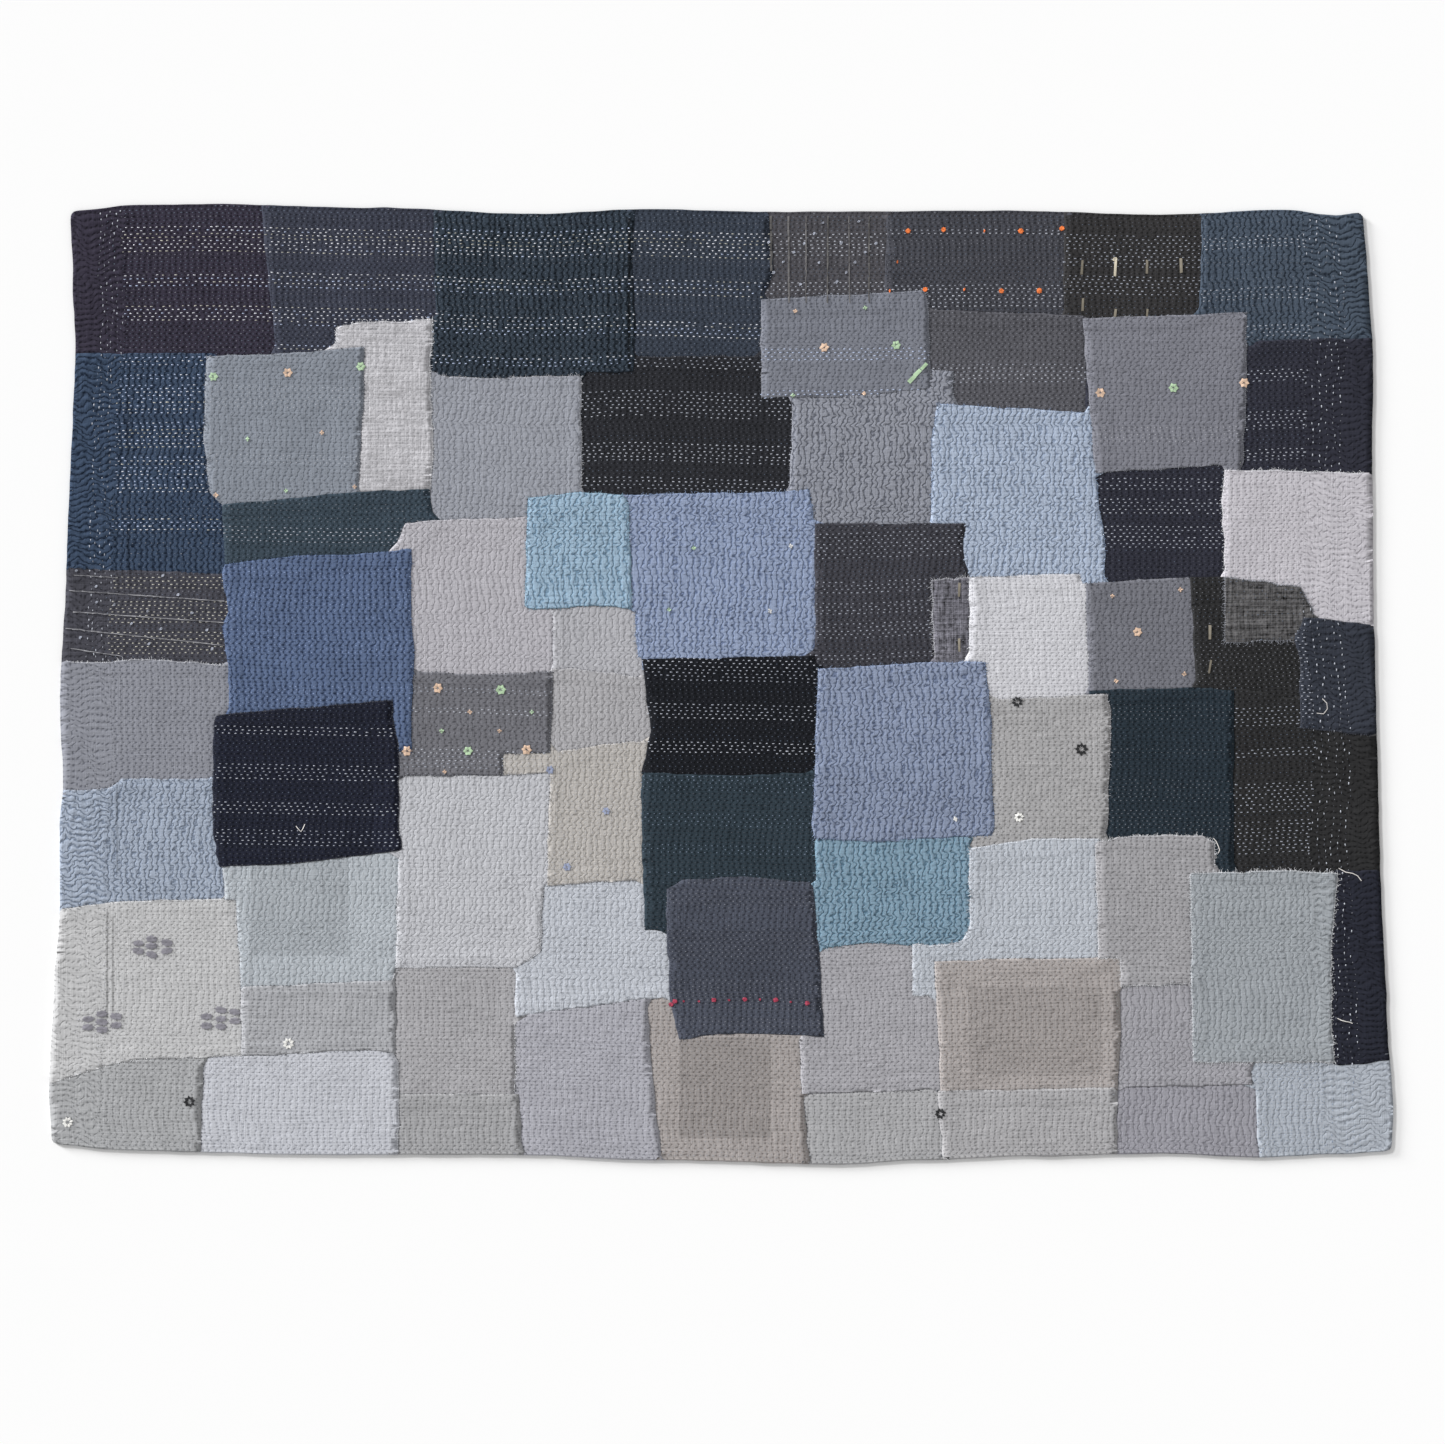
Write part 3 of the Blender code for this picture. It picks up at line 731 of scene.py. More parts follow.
# Each kind of cotton: how strongly its yarns show and how dark the painted shade in its creases is,
# how far it has faded in clouds, how far creases run on from row to row, how it strays, its depth,
# and how high its turned edge stands
Kind = namedtuple("Kind", "weave crease melange run stray_way depth edge")
KINDS = {
    "black": Kind(0.5, 0.8, 0.3, 0.30, 0.4, 0.5, 0.0003),
    "dusky": Kind(0.5, 0.8, 0.3, 0.35, 0.4, 0.6, 0.0003),
    "deep": Kind(0.45, 0.95, 0.3, 0.75, 0.7, 1.0, 0.0003),
    "ikat": Kind(0.7, 0.7, 0.2, 0.30, 0.4, 0.5, 0.0001),
    "gauze": Kind(0.8, 0.45, 0.15, 0.30, 0.5, 0.4, 0.0003),
    "scrim": Kind(2.2, 0.5, 0.15, 0.30, 0.5, 0.4, 0.0003),
    "flowered": Kind(0.34, 0.70, 0.16, 0.35, 0.6, 0.7, 0.0003),
    "denim": Kind(0.35, 1.0, 0.2, 0.50, 0.6, 1.2, 0.0003),
    "pale": Kind(0.34, 0.90, 0.12, 0.22, 0.5, 0.6, 0.0003),
    "crepe": Kind(0.24, 0.60, 0.10, 0.65, 0.8, 0.7, 0.0003),
    "puffed": Kind(0.18, 1.0, 0.12, 0.80, 1.0, 1.2, 0.0005),
}
# Boxes in centimetres where an older cloth shows through, and narrow ones of painted shade along pleats and
# fold lines, with how dark or light each makes the piece
UNDERCLOTH_AND_PLEAT_SHADE = {
    "pale_green_square": ((-74.5, -43, -59, -28, 0.84),),
    "warm_foot": ((-6.5, -72, 8, -56, 0.80),),
    "taupe_square": ((39.5, -62, 60.5, -48, 0.86),),
    "ink_overlay": ((-55, -27, -51, -15, 1.25),),
    "oval_grey": ((-97.4, -53, -97.1, -36, 0.55), (-96.5, -52, -96.2, -37, 0.62)),
    "steel_light_left": ((-95.9, -30.5, -95.5, -15.5, 0.65),),
    "heather_left": ((-95.3, 4, -94.9, 13.5, 0.7),),
    "navy_left": ((-94.2, 18, -93.6, 52, 0.72),),
    # Painted shade along the fold lines of this pleated piece
    "teal_blue_fold": (
        (-14.7, 50, -14.2, 74, 0.30), (-16.2, 57, -15.8, 69, 0.55), (-18.0, 50, -17.6, 62, 0.7),
    ),
    "slate_overlay": ((-8.5, -50.5, 15.5, -39, 0.9),),
    "periwinkle_low": ((14.5, -25, 43.5, -13, 0.94),),
}
EDGE_STEP = 0.012
TUCK_REACH = 0.012
TUCK_DEPTH = 0.019
HIDDEN_MARGIN = 0.011
SNAP_REACH = 0.007
HEM_REACH = 0.012
HEM_TOP = 0.0043
HEM_CALM = 0.018
EDGE_CALM = 0.010
EDGE_DROP = 0.0003
PRESSED_DOWN = 0.0007


def hand_cut(corners, sway):
    """Returns a patch's outline in metres, with points close together and a little unevenness."""
    corners = np.array(corners) / 100
    points = []
    for start, end in zip(corners, np.roll(corners, -1, axis=0)):
        count = max(2, round(float(np.hypot(*(end - start))) / EDGE_STEP))
        side = np.array((end[1] - start[1], start[0] - end[0])) / max(np.hypot(*(end - start)), 1e-9)
        share = np.arange(count) / count
        turns = draws.uniform(0, 2 * math.pi, 3)
        ripples = zip((1.3, 3.1, 7.7), turns)
        wave = sum(np.sin(2 * math.pi * share * bends + turn) for bends, turn in ripples)
        wave = wave * np.sin(math.pi * share) * sway / 2
        points.append(start + share[:, None] * (end - start) + wave[:, None] * side)
    return np.concatenate(points)


def outward_of(outline):
    """Returns the outward direction at each point of an outline."""
    along = np.roll(outline, -1, axis=0) - np.roll(outline, 1, axis=0)
    turned = np.stack((along[:, 1], -along[:, 0]), axis=1)
    x, y = outline.T
    if (x * np.roll(y, -1) - np.roll(x, -1) * y).sum() < 0:
        turned = -turned
    return turned / np.maximum(np.hypot(*turned.T), 1e-9)[:, None]


def tucked_under(outline, later):
    """Returns an outline with those edges drawn out that lie under a piece laid later."""
    outward = outward_of(outline)
    probe = outline + TUCK_REACH * outward
    covered = np.zeros(len(outline), bool)
    for other in later:
        covered |= depth_inside(probe, other) > 0
    return outline + np.where(covered, TUCK_DEPTH, 0.0)[:, None] * outward


seen_outlines = [hand_cut(patch.outline, 0.0016) for patch in PATCHES]
outlines = [tucked_under(outline, seen_outlines[index + 1:]) for index, outline in enumerate(seen_outlines)]


def layers_below(plan, index):
    """Returns how many earlier pieces lie under these points of a piece, with soft steps."""
    count = np.zeros(len(plan))
    for other in outlines[:index]:
        depth = depth_inside(plan, other)
        share = np.clip((depth + 0.002) / 0.003, 0, 1)
        count += share * share * (3 - 2 * share)
    return np.minimum(count, 3)


def laid_patch(index):
    """Makes one patch: a sheet on the quilted layers, with a turned or torn edge all round."""
    patch, outline = PATCHES[index], outlines[index]
    kind = KINDS[patch.kind]
    along = 0.5 if patch.puff >= 0.7 or patch.kind == "crepe" else 1.0
    piece = stitch_grid(patch.name, outline, along, 0.5)
    centres = stitch_plan(*face_centres(piece)[:, :2].T)
    unwanted = ~(inside_outline(centres, outline) & inside_outline(centres, CLOTH_OUTLINE))
    for later in outlines[index + 1:]:
        unwanted |= depth_inside(centres, later) > HIDDEN_MARGIN
    cut_away(piece, unwanted)
    ends, is_open = open_edges(piece)
    spots = points_of(piece)
    rim = np.unique(ends[is_open])
    plan = stitch_plan(spots[rim, 0], spots[rim, 1])
    edge_gap = nearest_on_outline(plan, outline)[1]
    hem_gap = nearest_on_outline(plan, CLOTH_OUTLINE)[1]
    at_edge = np.zeros(len(spots), bool)
    at_edge[rim] = (edge_gap < SNAP_REACH) | (hem_gap < HEM_REACH)
    rim_edges = is_open & at_edge[ends].all(axis=1)
    bpy.context.tool_settings.mesh_select_mode = (False, True, False)
    piece.data.edges.foreach_set("select", rim_edges)
    piece.data.polygons.foreach_set("select", np.zeros(len(piece.data.polygons), bool))
    bpy.ops.object.mode_set(mode="EDIT")
    bpy.ops.mesh.extrude_edges_move(TRANSFORM_OT_translate={"value": (0, 0, -1)})
    bpy.ops.object.mode_set(mode="OBJECT")
    spots = points_of(piece)
    stitch, row = spots[:, 0].copy(), spots[:, 1].copy()
    lowered = spots[:, 2] < -0.5
    spots[:, :2] = stitch_plan(stitch, row)
    counts = np.round(np.stack((stitch, row), axis=1) * 4)
    keys = counts[:, 0] * 10000 + counts[:, 1]
    on_rim = np.isin(keys, keys[lowered])
    edge_place, edge_gap = nearest_on_outline(spots[on_rim, :2], outline)
    hem_place, hem_gap = nearest_on_outline(spots[on_rim, :2], CLOTH_OUTLINE)
    nearer_hem = hem_gap <= edge_gap
    snapped = np.where(nearer_hem[:, None], hem_place, edge_place)
    beyond = ~inside_outline(snapped, CLOTH_OUTLINE)
    snapped[beyond] = nearest_on_outline(snapped[beyond], CLOTH_OUTLINE)[0]
    spots[on_rim, :2] = snapped
    to_hem = np.zeros(len(spots), bool)
    to_hem[on_rim] = nearer_hem
    under = np.zeros(len(spots))
    for later in outlines[index + 1:]:
        under = np.maximum(under, np.clip(depth_inside(spots[:, :2], later) / 0.003, 0, 1))
    calm = 0.4 + 0.6 * np.clip(depth_inside(spots[:, :2], outline) / EDGE_CALM, 0, 1)
    if to_hem.any():
        calm *= 0.25 + 0.75 * np.clip(depth_inside(spots[:, :2], CLOTH_OUTLINE) / HEM_CALM, 0, 1)
    height = quilted_height(stitch, row, patch.puff * (1 - 0.8 * under) * calm)
    height += LAYER_STEP * layers_below(spots[:, :2], index)
    height[on_rim] += kind.edge
    height[lowered] -= LAYER_STEP + kind.edge + EDGE_DROP
    height -= PRESSED_DOWN * under
    height[to_hem & ~lowered] = HEM_TOP
    height[to_hem & lowered] = 0.4 * GROUND_DEPTH
    spots[:, 2] = height
    give_points(piece, spots)
    rows_map(piece, stitch, row)
    shaded_smooth(piece)
    raw_edge = lowered & ~to_hem
    walls = [raw_edge[list(face.vertices)].any() for face in piece.data.polygons]
    piece.data.polygons.foreach_set("use_smooth", np.logical_not(walls))
    boxes = UNDERCLOTH_AND_PLEAT_SHADE.get(patch.name, ())
    wears(piece, worn_cotton_with_painted_shade(patch.name + "_cotton", patch.colour, *kind[:6], boxes))
    return piece


patch_pieces = [laid_patch(index) for index in range(len(PATCHES))]


def declare_sheet(piece):
    """Reads the plan places of a piece's triangles, and does nothing more with them."""
    spots = points_of(piece)
    corners = np.empty(len(piece.data.loops), np.int32)
    piece.data.loops.foreach_get("vertex_index", corners)
    piece.data.calc_loop_triangles()
    triangles = np.empty(len(piece.data.loop_triangles) * 3, np.int32)
    piece.data.loop_triangles.foreach_get("vertices", triangles)
    a, b, c = spots[triangles.reshape(-1, 3), :2].transpose(1, 0, 2)


declare_sheet(ground)
for piece in patch_pieces:
    declare_sheet(piece)

# Running stitches
# Thick cotton thread in short even stitches, row under row over the whole quilt. Bands of rows in
# pale thread alternate with rows in thread close to the cloth's own colour.
THREADS = {
    "white": "#dfe1e8",
    "frost": "#b3c0dc",
    "straw": "#bfbdb1",
    "silver": "#b4b8c2",
    "pewter": "#9a9fab",
    "ash": "#83868f",
    "slate": "#5c687a",
    "soot": "#494c55",
    "stone": "#9b9da3",
    "mist": "#b9bac0",
    "sky": "#8795ab",
    "azure": "#91a2c6",
    "denim": "#65748f",
}
# For each piece, heights in centimetres above the quilt's centre between which rows are pale
PALE_BANDS = {
    "plum_corner": ((68.5, 72.8), (62.9, 65.4), (57.5, 60.4)),
    "slate_top": ((68.2, 72.2), (62.3, 65.0), (56.5, 59.8), (52.5, 54.0)),
    "teal_blue_fold": ((67.8, 71.8), (61.8, 64.3), (55.1, 58.1), (50.0, 52.1)),
    "navy_top": ((67.6, 71.8), (61.5, 64.3), (55.0, 57.8)),
    "grey_brown_ikat": ((67.6, 71.6), (61.5, 64.0)),
    "dotted_plum": ((71.4, 72.3), (59.6, 63.6)),
    "olive_black": ((65.9, 71.5), (61.8, 64.8)),
    "steel_corner": ((69.0, 71.5), (61.0, 63.4), (54.9, 57.3)),
    "navy_left": ((50.7, 52.0), (48.3, 49.2), (43.0, 47.8), (37.5, 41.5), (30.0, 36.0), (24.0, 26.5)),
    "black_band": ((50.2, 52.1), (42.2, 46.5), (35.3, 38.2), (30.9, 33.0)),
    "dark_grey_band": ((47.6, 51.2),),
    "ink_right": ((47.3, 49.7), (39.9, 43.4), (35.0, 37.3), (30.7, 32.6), (27.0, 29.7), (21.6, 25.1)),
    "green_teal_band": ((22.0, 25.0),),
    "ikat_left": ((14.9, 17.4), (9.8, 13.6), (4.4, 8.6)),
    "ink_overlay": ((-8.5, -6.6), (-15.5, -12.5), (-20.6, -18.4), (-25.8, -23.0)),
    "black_middle": ((0.4, 3.9), (-5.5, -2.8), (-10.9, -9.0)),
    "charcoal_middle": ((20.0, 24.2), (14.3, 16.6), (11.2, 13.3), (7.2, 10.0), (4.0, 5.2)),
    "teal_middle": ((-17.3, -14.2), (-22.5, -20.3), (-27.0, -25.4), (-30.3, -29.7)),
    "slate_overlay": ((-35.5, -32.8), (-43.5, -39.3), (-51.7, -46.5)),
    "green_teal_right": ((-6.0, -3.3), (-11.3, -9.9), (-18.6, -15.2), (-23.2, -20.0)),
    "soot_right": ((-6.5, -3.6), (-11.8, -9.7), (-20.2, -15.4), (-27.0, -21.5)),
    "olive_marked": ((-0.8, 6.8), (-6.8, -3.6), (9.0, 9.8), (11.6, 12.3), (14.0, 15.2)),
    "navy_fragment": ((-5.5, 9.0),),
    "flowered_dark": ((-1.3, -0.6), (-4.8, -3.6), (-13.6, -10.4)),
    "flowered_left": ((43.9, 47.5), (34.8, 36.5)),
    "flowered_top": ((44.5, 47.0), (51.0, 53.5)),
    "flowered_right": ((38.5, 41.0), (32.0, 34.0)),
    "blue_denim": ((16.7, 18.5), (11.3, 15.3), (9.7, 10.7), (4.5, 8.5), (-3.8, -0.2)),
    "ink_right_foot": ((-66.0, -29.0),),
}
# Part of a running stitch, in mm along its row, across it and up: two ends that dive into the
# cloth, and two arches of three points between them
STITCH_POINTS = (
    (-2.3, 0.0, -0.9), (-1.35, -0.85, -0.1), (-1.35, 0.0, 0.75), (-1.35, 0.85, -0.1),
    (1.35, -0.85, -0.1), (1.35, 0.0, 0.75), (1.35, 0.85, -0.1), (2.3, 0.0, -0.9),
)
STITCH_FACES = ((0, 1, 2), (0, 2, 3), (1, 4, 5, 2), (2, 5, 6, 3), (4, 7, 5), (5, 7, 6))
# A plainer stitch for the rows that hardly show: one arch between the two ends
PLAIN_POINTS = (
    (-2.4, 0.0, -0.7), (0.0, -0.85, -0.1), (0.0, 0.0, 0.75), (0.0, 0.85, -0.1), (2.4, 0.0, -0.7),
)
PLAIN_FACES = ((0, 1, 2), (0, 2, 3), (1, 4, 2), (2, 4, 3))
BRIGHT_THREADS = ("white", "frost", "straw", "silver", "pewter")
# The columns of stitches in the left and right borders, counted from the left edge
SIDE_COLUMNS = (5.2, 6.2, 7.2, 8.2, 9.2, 253.0, 254.4, 255.8, 257.2, 258.6, 260.0)


def many_copies(name, points, faces, places):
    """Joins one copy of a small shape for each place, already set out as arrays of points."""
    count, each = len(places), len(points)
    sizes = np.array([len(face) for face in faces], np.int32)
    flat = np.concatenate([np.array(face, np.int32) for face in faces])
    corner = (flat[None] + each * np.arange(count, dtype=np.int32)[:, None]).ravel()
    mesh = bpy.data.meshes.new(name)
    mesh.vertices.add(count * each)
    mesh.vertices.foreach_set("co", np.asarray(places, np.float32).ravel())
    mesh.loops.add(len(corner))
    mesh.loops.foreach_set("vertex_index", corner)
    totals = np.tile(sizes, count)
    mesh.polygons.add(len(totals))
    mesh.polygons.foreach_set("loop_start", np.concatenate(([0], np.cumsum(totals)[:-1])).astype(np.int32))
    mesh.polygons.foreach_set("loop_total", totals)
    mesh.polygons.foreach_set("use_smooth", np.ones(len(totals), bool))
    mesh.update(calc_edges=True)
    mesh.validate()
    piece = bpy.data.objects.new(name, mesh)
    bpy.context.scene.collection.objects.link(piece)
    return piece


def cotton_thread(name, colour):
    """Makes matt twisted cotton thread, a little uneven from one stitch to the next."""
    material = bpy.data.materials.new(name)
    material.use_nodes = True
    tree = material.node_tree
    shader = tree.nodes["Principled BSDF"]
    place = tree.nodes.new("ShaderNodeTexCoord").outputs["Object"]
    lift = summed(
        tree, 1.0,
        (slubs(tree, place, (90, 150, 0), 1.0), 0.55, 0.5), (slubs(tree, place, (14, 9, 0), 2.0), 0.5, 0.5),
        (slubs(tree, place, (1500, 1100, 600), 1.0), 0.3, 0.5),
    )
    tinted = tree.nodes.new("ShaderNodeVectorMath")
    tinted.operation = "SCALE"
    tinted.inputs[0].default_value = linear(colour)[:3]
    tree.links.new(lift, tinted.inputs["Scale"])
    tree.links.new(tinted.outputs[0], shader.inputs["Base Color"])
    bump = tree.nodes.new("ShaderNodeBump")
    bump.inputs["Strength"].default_value = 0.4
    bump.inputs["Distance"].default_value = 0.0002
    tree.links.new(slubs(tree, place, (2200, 1200, 900), 1.0), bump.inputs["Height"])
    tree.links.new(bump.outputs[0], shader.inputs["Normal"])
    shader.inputs["Roughness"].default_value = 0.7
    shader.inputs["Sheen Weight"].default_value = 0.15
    return material


def top_patch(plan):
    """Returns the number of the piece that shows at each point, or -1 where none does."""
    found = np.full(len(plan), -1)
    for index, outline in enumerate(outlines):
        low, high = outline.min(axis=0), outline.max(axis=0)
        near = np.flatnonzero(((plan > low) & (plan < high)).all(axis=1))
        found[near[inside_outline(plan[near], outline)]] = index
    return found


def cloth_height(plan, stitch, row, on_patch):
    """Returns the height of the topmost cloth at points of the quilt."""
    height = np.zeros(len(plan))
    for index in np.unique(on_patch[on_patch >= 0]):
        here = on_patch == index
        below = layers_below(plan[here], index)
        height[here] = quilted_height(stitch[here], row[here], PATCHES[index].puff) + LAYER_STEP * below
    return height


def sewn(points, plan, height, heading, length, girth):
    """Returns the points of one stitch for each place, turned and sized."""
    shape = np.array(points) / 1000
    x = shape[None, :, 0] * length[:, None]
    y = shape[None, :, 1] * girth[:, None]
    turn_x, turn_y = np.cos(heading)[:, None], np.sin(heading)[:, None]
    placed = np.empty((len(plan), len(shape), 3))
    placed[..., 0] = plan[:, :1] + x * turn_x - y * turn_y
    placed[..., 1] = plan[:, 1:] + x * turn_y + y * turn_x
    placed[..., 2] = height[:, None] + shape[None, :, 2]
    return placed


count, number = np.meshgrid(np.arange(8, int(SIDE_BORDERS[1]) + 1), np.arange(ROW_COUNT))
column, place = np.meshgrid(SIDE_COLUMNS, np.arange(int(ROW_COUNT * SIDE_STITCH)))
place = place + 0.5 * (np.round(column) % 2) - 0.25
stitch = np.concatenate((count.ravel(), column.ravel() / SIDE_COLUMN)).astype(float)
row = np.concatenate((number.ravel(), place.ravel() / SIDE_STITCH)).astype(float)
upright = np.arange(len(stitch)) >= count.size
plan = stitch_plan(stitch, row)
on_patch = top_patch(plan)
kept = (depth_inside(plan, CLOTH_OUTLINE) > 0.003) & (draws.random(len(plan)) > 0.02) & (on_patch >= 0)
stitch, row, plan, on_patch, upright = (values[kept] for values in (stitch, row, plan, on_patch, upright))
height = cloth_height(plan, stitch, row, on_patch)
pale = np.zeros(len(plan), bool)
for index, patch in enumerate(PATCHES):
    here = np.flatnonzero((on_patch == index) & ~upright)
    middle = np.median(stitch[here]) if len(here) else 0.0
    row_height = stitch_plan(np.full(len(here), middle), row[here])[:, 1] * 100
    for low, high in PALE_BANDS.get(patch.name, ()):
        pale[here] |= (row_height > low) & (row_height < high)
pale &= draws.random(len(plan)) > 0.08
plan = plan + draws.normal(0, 0.00035, plan.shape)
heading = draws.normal(0, 0.12, len(plan)) + np.where(upright, math.pi / 2, 0.0)
length = np.clip(draws.normal(1.0, 0.16, len(plan)), 0.6, 1.4)
girth = np.clip(draws.normal(1.0, 0.12, len(plan)), 0.7, 1.3)
band = np.array([patch.band_thread for patch in PATCHES])[on_patch]
plain = np.array([patch.plain_thread for patch in PATCHES])[on_patch]
thread = np.where(pale, band, plain)
row_of = np.clip(np.round(row).astype(int), 0, ROW_COUNT)
lot = draws.random(ROW_COUNT + 1)[row_of]
lot = lot + draws.normal(0, 0.15, len(plan))
thread = np.where((thread == "white") & (lot < 0.40), "frost", thread)
thread = np.where((thread == "white") & (lot > 0.86), "straw", thread)
thread = np.where((thread == "silver") & (lot < 0.50), "pewter", thread)
thread = np.where((thread == "slate") & (lot > 0.76) & ~upright, "ash", thread)
thread = np.where((thread == "soot") & (lot > 0.76) & ~upright, "slate", thread)
dulled = np.isin(thread, ("slate", "soot", "denim")) & upright
thread = np.where(dulled & (draws.random(len(plan)) < 0.65), "ash", thread)
thread = np.where(dulled & (draws.random(len(plan)) < 0.40), "silver", thread)
for name, colour in THREADS.items():
    chosen = thread == name
    places = (plan[chosen], height[chosen], heading[chosen], length[chosen], girth[chosen])
    bright = name in BRIGHT_THREADS
    points, faces = (STITCH_POINTS, STITCH_FACES) if bright else (PLAIN_POINTS, PLAIN_FACES)
    piece = many_copies("stitches_" + name, points, faces, sewn(points, *places))
    wears(piece, cotton_thread("thread_" + name, colour))

# Edge stitches, partly painted shadow lines
# Dark thread caught down along the turned edges of the paler pieces.
# The dark edge thread also stands in for the thin shadow lines along these edges: partly thread, partly
# painted shadow.
EDGE_GAP = 0.0065
DARK_EDGED = ("pale", "crepe", "puffed", "flowered")


def seen_edges(index, spacing, from_hem):
    """Returns places along a piece's edges that show, and their outward directions."""
    outline = seen_outlines[index]
    ahead = np.roll(outline, -1, axis=0)
    run = np.hypot(*(ahead - outline).T)
    starts = np.concatenate(([0], np.cumsum(run)))
    marks = np.arange(0, starts[-1], spacing) + draws.uniform(-0.2, 0.2) * spacing
    marks = np.clip(marks, 0, starts[-1] - 1e-6)
    part = np.searchsorted(starts, marks, side="right") - 1
    share = ((marks - starts[part]) / np.maximum(run[part], 1e-9))[:, None]
    plan = outline[part] * (1 - share) + ahead[part] * share
    outward = outward_of(outline)[part]
    shows = top_patch(plan - 0.003 * outward) == index
    beyond = top_patch(plan + 0.004 * outward)
    shows &= (beyond >= 0) & (beyond < index) & (depth_inside(plan, CLOTH_OUTLINE) > from_hem)
    return plan[shows], outward[shows]


def surface_at(plan):
    """Returns the height of the topmost cloth at points given in plan."""
    stitch, row = stitch_place(plan)
    return cloth_height(plan, stitch, row, top_patch(plan))


edge_plan, edge_out = [], []
for index, patch in enumerate(PATCHES):
    if patch.kind in DARK_EDGED:
        found, outward = seen_edges(index, EDGE_GAP, 0.005)
        edge_plan.append(found)
        edge_out.append(outward)
edge_plan, edge_out = np.concatenate(edge_plan), np.concatenate(edge_out)
kept = draws.random(len(edge_plan)) > 0.25 + 0.35 * np.sin(edge_plan[:, 0] * 7.0 + edge_plan[:, 1] * 5.0)
edge_plan, edge_out = edge_plan[kept], edge_out[kept]
heading = np.arctan2(edge_out[:, 0], -edge_out[:, 1]) + draws.normal(0, 0.2, len(edge_plan))
length = draws.uniform(0.8, 1.3, len(edge_plan))
height = surface_at(edge_plan + 0.0008 * edge_out) + 0.0001
placed = sewn(PLAIN_POINTS, edge_plan + 0.0008 * edge_out, height, heading, length, 0.7 * length)
piece = many_copies("edge_stitches_and_shadow_lines", PLAIN_POINTS, PLAIN_FACES, placed)
wears(piece, cotton_thread("thread_edge_and_shadow_lines", "#40434c"))

# Woven and embroidered motifs
# Small flower heads, buds, dots and dashes of the old saris, worked in raised thread.
MOTIF_LIFT = 0.0011
MOTIF_COLOURS = {
    "peach": "#dfbfa6",
    "leaf": "#b3d0aa",
    "cream": "#efeeea",
    "orange": "#ee7a35",
    "red": "#a93450",
    "ikat_white": "#a7acba",
    "oval": "#87858e",
    "ink": "#111217",
    "lilac": "#9099b4",
    "brush": "#837c6e",
    "bright_brush": "#d8cfba",
    "old_stripe": "#6c6a6b",
    "faint_stripe": "#5a5857",
    "worn_line": "#8b8b90",
}
Motif = namedtuple("Motif", "shape colour size aspect turn places")
